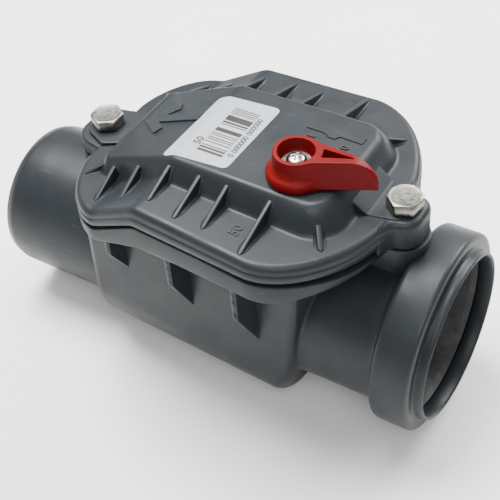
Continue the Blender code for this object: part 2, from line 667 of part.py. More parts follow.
    passage_start = seat_station(SOCKET_RISE - SEAT_OUTER) - 4 * CUT_PAST
    passage_end = PIPE_STOP + CUT_PAST
    passage = drum("passage", ((passage_start + passage_end) / 2, 0.0, SOCKET_RISE), PASSAGE_RADIUS,
                   passage_end - passage_start)
    pin_hole = drum("pin_hole", (HINGE_STATION, 0.0, HINGE_LEVEL), PIN_RADIUS + GAP,
                    2 * (LUG_OUTER + CUT_PAST), SIDEWAYS, 20)
    insert_holes = []
    for bolt, station in enumerate(BOLT_STATIONS):
        top = housing_top(station)
        insert_holes.append(upright(f"insert_hole_{bolt}", station, 0.0, insert_foot(bolt),
                                    top + CUT_PAST, INSERT_RADIUS + GAP, 28))
    combine(housing, "DIFFERENCE", passage, pin_hole, together("insert_holes", insert_holes))
    return housing


def seat_station(level):
    """Station of the slanted seat face at a level; it leans so that the flap closes by its own weight."""
    return (HINGE_STATION + SEAT_STANDOFF / math.cos(SEAT_TILT)
            + (level - HINGE_LEVEL) * math.tan(SEAT_TILT))


def dome_rings(wall, drop):
    """Sections of the dome along the cover; wall shrinks it to the hollow inside."""
    flank = DOME_HALF_WIDTH + DOME_FLANK_SPREAD
    nose = [(DOME_HALF_WIDTH - at_top, flank - at_foot) for at_top, at_foot in NOSE_NARROWING]
    round_station = DOME_SHOULDER + 0.65 * (DOME_TOP_END - DOME_SHOULDER)
    plan = [
        (DOME_START + wall, DOME_HALF_WIDTH - START_NARROWING[0], flank - START_NARROWING[1]),
        (DOME_TOP_START + wall, DOME_HALF_WIDTH - RISE_NARROWING[0], flank - RISE_NARROWING[1]),
        (RAMP_FOOT, DOME_HALF_WIDTH - 0.8 * RISE_NARROWING[0], flank - 0.5 * RISE_NARROWING[1]),
        (RAMP_HEAD, DOME_HALF_WIDTH - 0.25 * RISE_NARROWING[0], flank - 0.25 * RISE_NARROWING[1]),
        (DOME_RIDGE, DOME_HALF_WIDTH, flank),
        (DOME_SHOULDER, DOME_HALF_WIDTH + SHOULDER_WIDENING, flank + SHOULDER_WIDENING),
        (round_station, *nose[0]), (DOME_TOP_END - wall, *nose[1]), (DOME_END - wall, *nose[2])]
    rings = []
    for place, (station, half_top, half_foot) in enumerate(plan):
        foot = cover_flange_top(station)
        top = dome_top(station) - wall
        if place in (0, len(plan) - 1):
            top = foot + DOME_EDGE_ROUND * 0.5 - wall
        half_top -= wall * 0.9
        half_foot -= wall * 0.9
        edge = min(DOME_EDGE_ROUND, 0.45 * (top - foot + wall))
        side = [(half_foot, foot - drop), (half_foot, foot - wall * 0.5),
                (half_top + 0.35 * edge, top - edge), (half_top - 0.8 * edge, top)]
        ring = [(station, y, z) for y, z in side]
        ring += [(station, -y, z) for y, z in reversed(side)]
        rings.append(ring)
    return rings


def dome_top(station):
    return between(station, (DOME_TOP_START, DOME_RIDGE), (DOME_LOW_LEVEL, DOME_TOP_LEVEL))


def cover_ribs():
    """Triangular ribs that brace the dome's sides, and one at each of its corners."""
    ribs = []
    for station, rim_set_in in zip(COVER_RIB_STATIONS, COVER_RIB_RIMS):
        low = cover_flange_top(station)
        high = min(dome_top(station - RIB_THICKNESS / 2), dome_top(station)) - COVER_RIB_BELOW_TOP
        rim = flange_half_width(station) - rim_set_in
        inner = DOME_HALF_WIDTH - COVER_RIB_SET_IN
        outline = [(inner, low - BURY), (inner, high), (DOME_HALF_WIDTH + 0.5 * DOME_EDGE_ROUND, high),
                   (rim, low + 0.2 * BURY), (rim, low - BURY)]
        for side in (1.0, -1.0):
            ribs.append(prism(f"rib_{station:.4f}_{side:+.0f}", [(side * y, z) for y, z in outline], "YZ",
                              station - RIB_THICKNESS / 2, station + RIB_THICKNESS / 2))
    roots = (DOME_START + CORNER_RIB_SET_BACKS[0], DOME_END - CORNER_RIB_SET_BACKS[1])
    for end, (station, heading, reach) in enumerate(zip(roots, CORNER_RIB_HEADINGS, CORNER_RIB_REACHES)):
        across = DOME_HALF_WIDTH - CORNER_RIB_SET_INS[end]
        low = cover_flange_top(station)
        high = dome_top(station) - CORNER_RIB_BELOW_TOP
        tip_level = cover_flange_top(station + reach * math.cos(heading))
        outline = [(0.0, low - BURY), (0.0, high), (CORNER_RIB_CREST, high), (reach, tip_level + 0.2 * BURY),
                   (reach, min(low, tip_level) - BURY)]
        for side in (1.0, -1.0):
            turn = Matrix.Rotation(-side * heading, 4, "Z")
            place = Matrix.Translation((station, side * across, 0.0)) @ turn
            ribs.append(prism(f"corner_{station:.4f}_{side:+.0f}", outline, "XZ", -RIB_THICKNESS / 2,
                              RIB_THICKNESS / 2, place))
    return ribs


def build_cover():
    """Cover with a rounded rim, a hollow dome, its ribs, two ears and the spindle's boss."""
    cover = part("cover", flange_band("cover", 0.0, cover_foot, cover_flange_top, FLANGE_EDGE_ROUND),
                 GREY_COVER)
    dome = loft("dome", dome_rings(0.0, BURY))
    ears = []
    for bolt, station in enumerate(BOLT_STATIONS):
        top = EAR_TOPS[bolt]
        inward = FLANGE_START + EAR_RADIUS if bolt == 0 else FLANGE_END - EAR_RADIUS
        foot = max(cover_foot(station), cover_foot(inward))
        ears.append(upright(f"ear_{bolt}", station, 0.0, foot, top, EAR_RADIUS, 28))
        ears.append(block(f"ear_web_{bolt}",
                          (min(station, inward), -EAR_FLAT, foot + 0.3 * BURY),
                          (max(station, inward), EAR_FLAT, top - 0.1 * BURY)))
    bridge_end = BOLT_STATIONS[1] - 0.7 * EAR_RADIUS
    bridge_base = EAR_TOPS[1] - BRIDGE_DEPTH
    bridge = prism("bridge", [
        (BRIDGE_HEAD - BRIDGE_ROOT, bridge_base), (BRIDGE_HEAD - BRIDGE_ROOT, BRIDGE_HEAD_LEVEL),
        (BRIDGE_HEAD, BRIDGE_HEAD_LEVEL), (BRIDGE_FOOT, BRIDGE_FOOT_LEVEL),
        (bridge_end, EAR_TOPS[1] - 0.2 * BURY), (bridge_end, bridge_base)], "XZ",
        -BRIDGE_HALF_WIDTH, BRIDGE_HALF_WIDTH)
    pad = upright("bolt_pad", BOLT_STATIONS[0], 0.0, EAR_TOPS[0] - BURY, EAR_TOPS[0] + BOLT_PAD_HEIGHT,
                  BOLT_PAD_RADIUS + BOLT_PAD_FLARE, 28, BOLT_PAD_RADIUS)
    combine(cover, "UNION", dome, *ears, bridge, pad)
    for rib in cover_ribs():
        combine(cover, "UNION", rib)

    through = max(COVER_FLANGE_DEPTHS) + 4 * CUT_PAST
    inside = loft("dome_hollow", dome_rings(COVER_WALL, through))
    under = flange_band("rim_hollow", COVER_RIM_WIDTH, cover_foot, cover_flange_top, 0.0, -COVER_WALL,
                        3 * CUT_PAST)
    combine(cover, "DIFFERENCE", inside, under)
    boss = upright("spindle_boss", LOCK_STATION, LOCK_ACROSS, BOSS_FOOT, DOME_TOP_LEVEL - 0.6 * COVER_WALL,
                   BOSS_RADIUS, 32)
    combine(cover, "UNION", boss)
    holes = [upright("spindle_hole", LOCK_STATION, LOCK_ACROSS, BOSS_FOOT - CUT_PAST,
                     DOME_TOP_LEVEL + CUT_PAST, SPINDLE_RADIUS + GAP, 32)]
    for bolt, station in enumerate(BOLT_STATIONS):
        holes.append(upright(f"bolt_hole_{bolt}", station, 0.0, cover_foot(station) - CUT_PAST,
                             EAR_TOPS[bolt] + BOLT_PAD_HEIGHT + CUT_PAST, BOLT_RADIUS + GAP, 24))
    spot_face = upright("spot_face", BOLT_STATIONS[1], 0.0, EAR_TOPS[1], EAR_TOPS[1] + 2 * BOLT_HEAD_HEIGHT,
                        BOLT_PAD_RADIUS, 28)
    combine(cover, "DIFFERENCE", together("holes", holes), spot_face)


def build_gasket():
    """Flat rubber gasket that follows the bent parting face between housing and cover."""
    half = GASKET_THICKNESS / 2
    gasket = part("cover_gasket", flange_band("cover_gasket", GASKET_INSET, parting_level, parting_level,
                                              0.0, half, half), BLACK_RUBBER)
    window = flange_band("gasket_window", GASKET_INSET + GASKET_WIDTH, parting_level, parting_level, 0.0,
                         2 * CUT_PAST, 2 * CUT_PAST)
    combine(gasket, "DIFFERENCE", window)


def build_bolts():
    """Two hexagon bolts and the brass inserts that they screw into, one pair in each ear."""
    corner = BOLT_HEAD_ACROSS / 2 / math.cos(math.radians(30.0))
    for bolt_place, (end, station) in enumerate(zip(("outlet", "inlet"), BOLT_STATIONS)):
        seat = bolt_seat(bolt_place)
        head = upright("head", station, 0.0, seat, seat + BOLT_HEAD_HEIGHT, corner, 6)
        bolt = part(f"cover_bolt_{end}", head, ZINC)
        combine(bolt, "UNION", upright("shank", station, 0.0, seat - BOLT_LENGTH,
                                       seat + 0.5 * BOLT_HEAD_HEIGHT, BOLT_RADIUS, 24))
        top = housing_top(station)
        inner = BOLT_RADIUS + THREAD_GAP
        part(f"threaded_insert_{end}", turned(f"threaded_insert_{end}", [
            (INSERT_RADIUS, top), (INSERT_RADIUS, top - INSERT_LENGTH), (inner, top - INSERT_LENGTH),
            (inner, top)], Matrix.Translation((station, 0.0, 0.0)), steps=28), BRASS)


def build_lip_seal():
    """Rubber ring in the socket's bead, with a lip that leans inwards against the pipe."""
    width = GROOVE_END - GROOVE_START - 2 * GAP
    start = GROOVE_START + GAP
    end = start + width
    outer = GROOVE_RADIUS - GAP
    root = SOCKET_BORE + 0.75 * LIP_REACH
    tip = SOCKET_BORE - LIP_REACH
    profile = [(outer, end), (outer, start), (root, start),
               (SOCKET_BORE + 0.5 * LIP_REACH, start + 0.45 * width),
               (tip + 0.3 * LIP_REACH, start + 0.05 * width), (tip, start + 0.15 * width),
               (SOCKET_BORE - 0.3 * LIP_REACH, start + 0.8 * width), (SOCKET_BORE + 0.1 * LIP_REACH, end)]
    place = Matrix.Translation((0.0, 0.0, SOCKET_RISE)) @ ACROSS
    part("socket_lip_seal", turned("socket_lip_seal", profile, place, steps=48), BLACK_RUBBER)


def build_flap():
    """Hanging flap with its rubber seal, clamp disc, screws and hinge pin."""
    hang = Matrix.Translation((HINGE_STATION, 0.0, HINGE_LEVEL)) @ Matrix.Rotation(SEAT_TILT, 4, "Y")
    disc_place = hang @ Matrix.Translation((0.0, 0.0, -FLAP_DROP)) @ ACROSS
    half = FLAP_THICKNESS / 2
    bm = bmesh.new()
    bmesh.ops.create_cone(bm, cap_ends=True, segments=48, radius1=FLAP_RADIUS, radius2=FLAP_RADIUS,
                          depth=FLAP_THICKNESS, matrix=disc_place)
    flap = part("flap", mesh_from(bm, "flap"), DARK_GREY, FLAP_AXIS)
    neck = block("neck", (-half, -FLAP_NECK_HALF_WIDTH, -(FLAP_DROP - 0.8 * FLAP_RADIUS)),
                 (half, FLAP_NECK_HALF_WIDTH, 0.0), hang)
    barrel_half = LUG_INNER - 1.5 * GAP
    barrel = drum("barrel", (HINGE_STATION, 0.0, HINGE_LEVEL), BARREL_RADIUS, 2 * barrel_half, SIDEWAYS, 28)
    tail = block("tail", (HINGE_STATION - TAIL_THICKNESS / 2, LOCK_ACROSS - TAIL_WIDTH / 2, HINGE_LEVEL),
                 (HINGE_STATION + TAIL_THICKNESS / 2, LOCK_ACROSS + TAIL_WIDTH / 2, HINGE_LEVEL + TAIL_HEIGHT))
    depth = half + FLAP_RIB_HEIGHT
    upright_rib = block("upright_rib", (-depth, -0.5 * RIB_THICKNESS, -FLAP_DROP - 0.8 * FLAP_RADIUS),
                        (0.0, 0.5 * RIB_THICKNESS, -1.2 * BARREL_RADIUS), hang)
    cross_rib = block("cross_rib", (-depth, -0.8 * FLAP_RADIUS, -FLAP_DROP - 0.5 * RIB_THICKNESS),
                      (0.0, 0.8 * FLAP_RADIUS, -FLAP_DROP + 0.5 * RIB_THICKNESS), hang)
    combine(flap, "UNION", neck, barrel, tail, upright_rib, cross_rib)
    pin_hole = drum("flap_pin_hole", (HINGE_STATION, 0.0, HINGE_LEVEL), PIN_RADIUS + GAP, 2 * LUG_OUTER,
                    SIDEWAYS, 20)

    seal_near = half + GAP
    seal_far = seal_near + SEAL_THICKNESS
    clamp_near = seal_far + GAP
    clamp_far = clamp_near + CLAMP_THICKNESS
    clamp_radius = PASSAGE_RADIUS - CLAMP_CLEARANCE
    screw_places = []
    for k in range(3):
        angle = math.radians(90.0 + 120.0 * k)
        screw_places.append(disc_place @ Matrix.Translation((CLAMP_SCREW_CIRCLE * math.sin(angle + math.pi / 2),
                                                             CLAMP_SCREW_CIRCLE * math.cos(angle + math.pi / 2),
                                                             0.0)))

    def screw_holes(name):
        holes = []
        for place in screw_places:
            hole = bmesh.new()
            bmesh.ops.create_cone(hole, cap_ends=True, segments=16, radius1=SMALL_SCREW_RADIUS + GAP,
                                  radius2=SMALL_SCREW_RADIUS + GAP, depth=2 * (clamp_far + CUT_PAST),
                                  matrix=place)
            holes.append(mesh_from(hole, name))
        return together(name, holes)

    combine(flap, "DIFFERENCE", pin_hole, screw_holes("flap_screw_holes"))
    seal = part("flap_seal", turned("flap_seal", [
        (FLAP_RADIUS, seal_far), (FLAP_RADIUS, seal_near), (SEAL_INNER_RADIUS, seal_near),
        (SEAL_INNER_RADIUS, seal_far)], disc_place), BLACK_RUBBER, FLAP_AXIS)
    combine(seal, "DIFFERENCE", screw_holes("seal_screw_holes"))
    clamp = part("flap_seal_clamp", turned("flap_seal_clamp", [
        (0.0, clamp_far), (clamp_radius - CLAMP_EDGE, clamp_far), (clamp_radius, clamp_far - CLAMP_EDGE),
        (clamp_radius, clamp_near), (0.0, clamp_near)], disc_place), DARK_GREY, FLAP_AXIS)
    combine(clamp, "DIFFERENCE", screw_holes("clamp_screw_holes"))
    head_foot = clamp_far + GAP
    for k, place in enumerate(screw_places):
        name = f"flap_seal_screw_{k + 1}"
        part(name, turned(name, [
            (0.0, head_foot + SMALL_HEAD_HEIGHT), (0.7 * SMALL_HEAD_RADIUS, head_foot + SMALL_HEAD_HEIGHT),
            (SMALL_HEAD_RADIUS, head_foot + 0.5 * SMALL_HEAD_HEIGHT), (SMALL_HEAD_RADIUS, head_foot),
            (SMALL_SCREW_RADIUS, head_foot), (SMALL_SCREW_RADIUS, -half), (0.0, -half)], place, steps=16),
            STAINLESS, FLAP_AXIS)
    pin = drum("flap_hinge_pin", (HINGE_STATION, 0.0, HINGE_LEVEL), PIN_RADIUS, 2 * LUG_OUTER - PIN_END_PLAY,
               SIDEWAYS, 20)
    part("flap_hinge_pin", pin, STAINLESS)


def build_lock():
    """Red lever, its screw and washer, the sealed spindle, and the cam whose peg holds the flap shut."""
    stand = Matrix.Translation((LOCK_STATION, LOCK_ACROSS, 0.0))
    knob = turned("lever", [
        (0.0, KNOB_TOP), (KNOB_RIM_RADIUS - KNOB_EDGE, KNOB_TOP), (KNOB_RIM_RADIUS, KNOB_TOP - KNOB_EDGE),
        (KNOB_RIM_RADIUS + KNOB_EDGE, KNOB_FOOT + 0.55 * KNOB_HEIGHT),
        (KNOB_BASE_RADIUS - 2 * KNOB_EDGE, KNOB_FOOT + 0.25 * KNOB_HEIGHT),
        (KNOB_BASE_RADIUS, KNOB_FOOT + 0.08 * KNOB_HEIGHT), (KNOB_BASE_RADIUS, KNOB_FOOT),
        (0.0, KNOB_FOOT)], stand, steps=32)
    lever = part("lever", knob, RED, LEVER_AXIS)
    swing = stand @ Matrix.Rotation(LEVER_ANGLE, 4, "Z")
    root = LEVER_ROOT_HALF_WIDTH
    tip = LEVER_TIP_HALF_WIDTH
    wall_middle = (KNOB_OPENING + KNOB_RIM_RADIUS) / 2
    start = math.sqrt(max(wall_middle ** 2 - root ** 2, 0.0))
    plan = [(start, -root), (LEVER_REACH - tip, -tip), (LEVER_REACH, 0.0),
            (LEVER_REACH - tip, tip), (start, root)]
    arm_top = KNOB_TOP - LEVER_BELOW_RIM
    arm_foot = KNOB_FOOT + LEVER_OVER_COVER
    nose = LEVER_REACH + 0.2 * BURY
    turns = [math.pi / 2 * k / 4 for k in range(5)]
    crest = [(nose - LEVER_BROW_RUN * (1.0 - math.cos(turn)),
              arm_top - LEVER_BROW_FALL * (1.0 - math.sin(turn))) for turn in turns]
    side_view = [(-BURY, arm_foot), (nose, arm_foot), *crest, (-BURY, arm_top)]
    arm_mesh = prism("arm", plan, "XY", KNOB_FOOT - BURY, KNOB_TOP + BURY, swing)
    arm = bpy.data.objects.new("lever_arm_shape", arm_mesh)
    arm.parent = LEVER_AXIS
    arm.matrix_parent_inverse = lever.matrix_parent_inverse.copy()
    arm.hide_render = True
    arm.display_type = "WIRE"
    CUTTERS.objects.link(arm)
    combine(arm, "INTERSECT", prism("arm_side", side_view, "XZ", -2 * root, 2 * root, swing))
    join = lever.modifiers.new("arm", "BOOLEAN")
    join.operation = "UNION"
    join.solver = "EXACT"
    join.object = arm
    floor = KNOB_FOOT + KNOB_FLOOR
    hole = SMALL_SCREW_RADIUS + GAP
    opening = turned("lever_opening", [
        (0.0, KNOB_TOP + CUT_PAST), (KNOB_OPENING + 0.6 * KNOB_EDGE, KNOB_TOP + CUT_PAST),
        (KNOB_OPENING + 0.6 * KNOB_EDGE, KNOB_TOP - 0.6 * KNOB_EDGE), (KNOB_OPENING, KNOB_TOP - 2 * KNOB_EDGE),
        (KNOB_OPENING, floor), (hole, floor), (hole, KNOB_FOOT + KNOB_SOCKET_DEPTH),
        (SPINDLE_RADIUS + GAP, KNOB_FOOT + KNOB_SOCKET_DEPTH), (SPINDLE_RADIUS + GAP, KNOB_FOOT - CUT_PAST),
        (0.0, KNOB_FOOT - CUT_PAST)], stand, steps=24)
    pocket_near = 0.36 * LEVER_REACH
    pocket = prism("lever_pocket", [
        (pocket_near, -0.45 * root), (0.74 * LEVER_REACH, 0.0), (pocket_near, 0.45 * root)], "XY",
        arm_top - LEVER_POCKET_DEPTH, KNOB_TOP + CUT_PAST, swing)
    combine(lever, "DIFFERENCE", opening, pocket)

    washer_foot = floor + GAP
    washer_top = washer_foot + WASHER_THICKNESS
    part("lever_screw_washer", turned("lever_screw_washer", [
        (WASHER_RADIUS, washer_top), (WASHER_RADIUS, washer_foot), (hole, washer_foot),
        (hole, washer_top)], stand, steps=28), ZINC, LEVER_AXIS)
    head_foot = washer_top + GAP
    head_top = head_foot + LEVER_HEAD_HEIGHT
    part("lever_screw", turned("lever_screw", [
        (0.0, head_top), (0.62 * LEVER_HEAD_RADIUS, head_top - 0.05 * LEVER_HEAD_HEIGHT),
        (0.92 * LEVER_HEAD_RADIUS, head_top - 0.35 * LEVER_HEAD_HEIGHT),
        (LEVER_HEAD_RADIUS, head_top - 0.7 * LEVER_HEAD_HEIGHT), (LEVER_HEAD_RADIUS, head_foot),
        (SMALL_SCREW_RADIUS, head_foot), (SMALL_SCREW_RADIUS, head_foot - LEVER_SCREW_LENGTH),
        (0.0, head_foot - LEVER_SCREW_LENGTH)], stand, steps=24), ZINC, LEVER_AXIS)

    ring_room = SPINDLE_RADIUS + GAP - 2 * RING_SECTION - 2 * RING_ROOM
    groove_half = RING_SECTION + GROOVE_PLAY
    boss_middle = BOSS_FOOT + 0.5 * (DOME_TOP_LEVEL - BOSS_FOOT)
    ring_levels = (boss_middle + RING_SPACING / 2, boss_middle - RING_SPACING / 2)
    clip_top = CAM_FOOT - GAP
    clip_foot = clip_top - CLIP_THICKNESS
    clip_root = SPINDLE_JOURNAL - CLIP_GROOVE_DEPTH
    spindle_foot = clip_foot - SPINDLE_TAIL
    profile = [(0.0, SPINDLE_TOP), (SPINDLE_RADIUS, SPINDLE_TOP)]
    for level in ring_levels:
        profile += [(SPINDLE_RADIUS, level + groove_half), (ring_room, level + groove_half),
                    (ring_room, level - groove_half), (SPINDLE_RADIUS, level - groove_half)]
    profile += [(SPINDLE_RADIUS, CAM_TOP + GAP), (SPINDLE_JOURNAL, CAM_TOP + GAP),
                (SPINDLE_JOURNAL, clip_top + GROOVE_PLAY), (clip_root, clip_top + GROOVE_PLAY),
                (clip_root, clip_foot - GROOVE_PLAY), (SPINDLE_JOURNAL, clip_foot - GROOVE_PLAY),
                (SPINDLE_JOURNAL, spindle_foot), (0.0, spindle_foot)]
    spindle = part("lock_spindle", turned("lock_spindle", profile, stand, steps=24), DARK_GREY, LEVER_AXIS)
    screw_bottom = head_foot - LEVER_SCREW_LENGTH
    combine(spindle, "DIFFERENCE", upright("spindle_screw_hole", LOCK_STATION, LOCK_ACROSS,
                                           screw_bottom - LEVER_SCREW_TIP_ROOM, SPINDLE_TOP + CUT_PAST, hole,
                                           20))
    middle = ring_room + RING_ROOM + RING_SECTION
    for place, level in zip(("upper", "lower"), ring_levels):
        section = [(middle + RING_SECTION * math.cos(2 * math.pi * a / 8),
                    level - RING_SECTION * math.sin(2 * math.pi * a / 8)) for a in range(8)]
        part(f"spindle_o_ring_{place}", turned(f"spindle_o_ring_{place}", section, stand, steps=24),
             BLACK_RUBBER, LEVER_AXIS)

    bore = SPINDLE_JOURNAL + GAP
    cam = part("lock_cam", turned("lock_cam", [
        (CAM_RADIUS - CAM_EDGE, CAM_TOP), (CAM_RADIUS, CAM_TOP - CAM_EDGE), (CAM_RADIUS, CAM_FOOT),
        (bore, CAM_FOOT), (bore, CAM_TOP)], stand, steps=32), DARK_GREY, LEVER_AXIS)
    peg = upright("peg", LOCK_STATION, LOCK_ACROSS + PEG_CIRCLE, PEG_FOOT, CAM_FOOT + BURY, PEG_RADIUS, 20)
    combine(cam, "UNION", peg)
    clip_bore = clip_root + GROOVE_PLAY
    clip = part("spindle_clip", turned("spindle_clip", [
        (clip_bore + CLIP_BAND, clip_top), (clip_bore + CLIP_BAND, clip_foot), (clip_bore, clip_foot),
        (clip_bore, clip_top)], stand, steps=32), STAINLESS, LEVER_AXIS)
    mouth = 0.75 * clip_bore
    combine(clip, "DIFFERENCE", block("clip_mouth", (LOCK_STATION, LOCK_ACROSS - mouth, clip_foot - CUT_PAST),
                                      (LOCK_STATION + 3 * CLIP_BAND + clip_bore, LOCK_ACROSS + mouth,
                                       clip_top + CUT_PAST)))


def build_label():
    """Paper-thin sticker that bends with the dome's ridge."""
    low = LABEL_LOW_SIDE
    high = LABEL_LOW_SIDE + LABEL_WIDTH
    rings = []
    for station in (LABEL_START, DOME_RIDGE, LABEL_END):
        foot = dome_top(station) + GAP
        top = foot + LABEL_THICKNESS
        rings.append([(station, low, foot), (station, high, foot), (station, high, top), (station, low, top)])
    part("label", loft("label", rings), WHITE_FILM)


build_housing()
build_cover()
build_gasket()
build_bolts()
build_lip_seal()
build_flap()
build_lock()
build_label()
bpy.context.view_layer.update()
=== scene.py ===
"""Backwater valve for a 50 mm waste pipe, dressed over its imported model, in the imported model's frame.

Sizes are in millimetres: stations run along the pipe from the spigot's end face, across is to the side,
and levels are heights above the spigot's axis.
"""
import math

import bmesh
import bpy
import numpy as np
from mathutils import Matrix, Vector


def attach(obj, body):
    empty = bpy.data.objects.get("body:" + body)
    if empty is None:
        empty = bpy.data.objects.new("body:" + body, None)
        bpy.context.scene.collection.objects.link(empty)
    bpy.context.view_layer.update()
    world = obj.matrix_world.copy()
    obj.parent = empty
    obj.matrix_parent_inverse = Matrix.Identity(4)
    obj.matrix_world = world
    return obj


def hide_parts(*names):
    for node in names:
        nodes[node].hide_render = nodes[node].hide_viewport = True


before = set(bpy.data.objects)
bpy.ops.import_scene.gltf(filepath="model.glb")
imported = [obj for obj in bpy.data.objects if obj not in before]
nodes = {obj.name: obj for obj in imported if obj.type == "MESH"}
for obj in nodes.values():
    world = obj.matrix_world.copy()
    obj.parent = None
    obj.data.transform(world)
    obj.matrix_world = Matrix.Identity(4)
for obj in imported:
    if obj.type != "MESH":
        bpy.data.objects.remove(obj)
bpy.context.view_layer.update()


def put(name, data):
    """New object in the scene that shows the data."""
    made = bpy.data.objects.new(name, data)
    bpy.context.scene.collection.objects.link(made)
    return made


# Camera: stands where the photographer stood, worked out from points on the real valve.
# It looks down on the socket end from the side of the lever, turned a little about its own line of sight.
LENS = 78.3
HEADING, HEIGHT, ROLL = (math.radians(angle) for angle in (34.86, 44.53, -5.29))
CAMERA_PLACE = Vector((0.1487, -0.2058, 0.2838))

camera_data = bpy.data.cameras.new("camera")
camera_data.lens = LENS
camera_data.sensor_width = 36.0
camera = put("camera", camera_data)
back = Vector((math.sin(HEADING) * math.cos(HEIGHT), -math.cos(HEADING) * math.cos(HEIGHT), math.sin(HEIGHT)))
right = Vector((math.cos(HEADING), math.sin(HEADING), 0.0))
up = back.cross(right)
rolled_right = math.cos(ROLL) * right + math.sin(ROLL) * up
rolled_up = math.cos(ROLL) * up - math.sin(ROLL) * right
camera.matrix_world = (Matrix.Translation(CAMERA_PLACE)
                       @ Matrix((rolled_right, rolled_up, back)).transposed().to_4x4())
bpy.context.scene.camera = camera


# Materials: every one is worked out from Object coordinates, in metres, so a pattern of d millimetres has a
# scale of 1000 / d.
def linear(code):
    """sRGB hex text to linear light: each channel c becomes ((c + 0.055) / 1.055) ** 2.4, or c / 12.92."""
    channels = [int(code[k:k + 2], 16) / 255 for k in (1, 3, 5)]
    return tuple(c / 12.92 if c <= 0.04045 else ((c + 0.055) / 1.055) ** 2.4 for c in channels) + (1.0,)


def add_node(tree, kind, settings=None, links=None):
    """One shader node with its settings and its incoming links, given as socket name to value or output."""
    made = tree.nodes.new("ShaderNode" + kind)
    for name, value in (settings or {}).items():
        if name in made.inputs and not hasattr(type(made), name):
            made.inputs[name].default_value = value
        else:
            setattr(made, name, value)
    for name, source in (links or {}).items():
        tree.links.new(source, made.inputs[name])
    return made


def new_material(name):
    """Empty node material, returned with its tree, its Principled shader and its Object coordinates."""
    made = bpy.data.materials.new(name)
    made.use_nodes = True
    tree = made.node_tree
    shader = tree.nodes["Principled BSDF"]
    place = add_node(tree, "TexCoord").outputs["Object"]
    return made, tree, shader, place


def per_mm(size):
    """Scale of a pattern whose features are size mm across."""
    return 1000.0 / size


def noise(tree, place, size, detail=3.0, roughness=0.55, stretch=None):
    """Noise from 0 to 1 whose blobs are size mm across, drawn out by stretch along each axis."""
    if stretch:
        place = add_node(tree, "Mapping", {"Scale": stretch}, {"Vector": place}).outputs["Vector"]
    return add_node(tree, "TexNoise", {"Scale": per_mm(size), "Detail": detail, "Roughness": roughness},
                    {"Vector": place}).outputs["Fac"]


def ranged(tree, value, low, high, to_low, to_high):
    """value carried from the range low to high into the range to_low to to_high, and held at its ends."""
    return add_node(tree, "MapRange", {"From Min": low, "From Max": high, "To Min": to_low, "To Max": to_high},
                    {"Value": value}).outputs["Result"]


def mixed(tree, share, first, second):
    """Colour between first and second, each a hex text or an output, by share."""
    made = add_node(tree, "MixRGB", links={"Fac": share})
    for socket, colour in (("Color1", first), ("Color2", second)):
        if isinstance(colour, str):
            made.inputs[socket].default_value = linear(colour)
        else:
            tree.links.new(colour, made.inputs[socket])
    return made.outputs["Color"]


def bumped(tree, shader, height, depth, strength=1.0):
    """Fine relief of depth mm on a shader, from a height between 0 and 1."""
    bump = add_node(tree, "Bump", {"Distance": depth / 1000.0, "Strength": strength}, {"Height": height})
    tree.links.new(bump.outputs["Normal"], shader.inputs["Normal"])


def moulded_plastic(name, base, shade, scuff, roughness, grain, specular=0.42):
    """Injection-moulded plastic: base and shade in soft clouds, paler worn edges and fine scuffs, and a
    spark-eroded grain."""
    made, tree, shader, place = new_material(name)
    clouds = ranged(tree, noise(tree, place, 22.0), 0.35, 0.65, 0.0, 1.0)
    colour = mixed(tree, clouds, base, shade)
    worn = ranged(tree, add_node(tree, "NewGeometry").outputs["Pointiness"], 0.53, 0.60, 0.0, 0.16)
    colour = mixed(tree, worn, colour, scuff)
    scratches = noise(tree, place, 1.1, 2.0, 0.5, (0.16, 1.0, 1.0))
    colour = mixed(tree, ranged(tree, scratches, 0.66, 0.74, 0.0, 0.22), colour, scuff)
    tree.links.new(colour, shader.inputs["Base Color"])
    gloss = ranged(tree, noise(tree, place, 9.0, 4.0), 0.3, 0.7, roughness - 0.06, roughness + 0.08)
    tree.links.new(gloss, shader.inputs["Roughness"])
    shader.inputs["Specular IOR Level"].default_value = specular
    bumped(tree, shader, noise(tree, place, grain, 2.0), 0.02, 0.35)
    return made


def plated_steel(name, base, shade, roughness, grain):
    """Metal with a plated or drawn surface: spangle in two tones, dull patches and shallow dents."""
    made, tree, shader, place = new_material(name)
    spangle = ranged(tree, noise(tree, place, 1.6, 4.0, 0.6), 0.3, 0.7, 0.0, 1.0)
    tree.links.new(mixed(tree, spangle, base, shade), shader.inputs["Base Color"])
    shader.inputs["Metallic"].default_value = 1.0
    gloss = ranged(tree, noise(tree, place, 0.9, 3.0), 0.3, 0.7, roughness - 0.08, roughness + 0.1)
    tree.links.new(gloss, shader.inputs["Roughness"])
    bumped(tree, shader, noise(tree, place, grain, 3.0), 0.03, 0.5)
    return made


def soft_rubber(name, base, bloom, roughness):
    """Moulded rubber: nearly black, with a faint grey bloom in patches and a fine grain."""
    made, tree, shader, place = new_material(name)
    patches = ranged(tree, noise(tree, place, 5.0, 4.0), 0.4, 0.75, 0.0, 0.6)
    tree.links.new(mixed(tree, patches, base, bloom), shader.inputs["Base Color"])
    tree.links.new(ranged(tree, noise(tree, place, 2.0), 0.3, 0.7, roughness - 0.1, roughness + 0.1),
                   shader.inputs["Roughness"])
    bumped(tree, shader, noise(tree, place, 0.3, 2.0), 0.02, 0.4)
    return made


# grey polypropylene of the housing and the cover, with a faint blue cast
GREY = moulded_plastic("grey polypropylene", "#202427", "#1D2023", "#42474B", 0.40, 0.35, 0.20)
# red polypropylene of the lever
RED = moulded_plastic("red polypropylene", "#5E0002", "#540002", "#761010", 0.42, 0.4, 0.12)
# darker grey polypropylene of the flap
DARK = moulded_plastic("dark polypropylene", "#1C1F21", "#181A1C", "#3A3E41", 0.42, 0.35, 0.34)
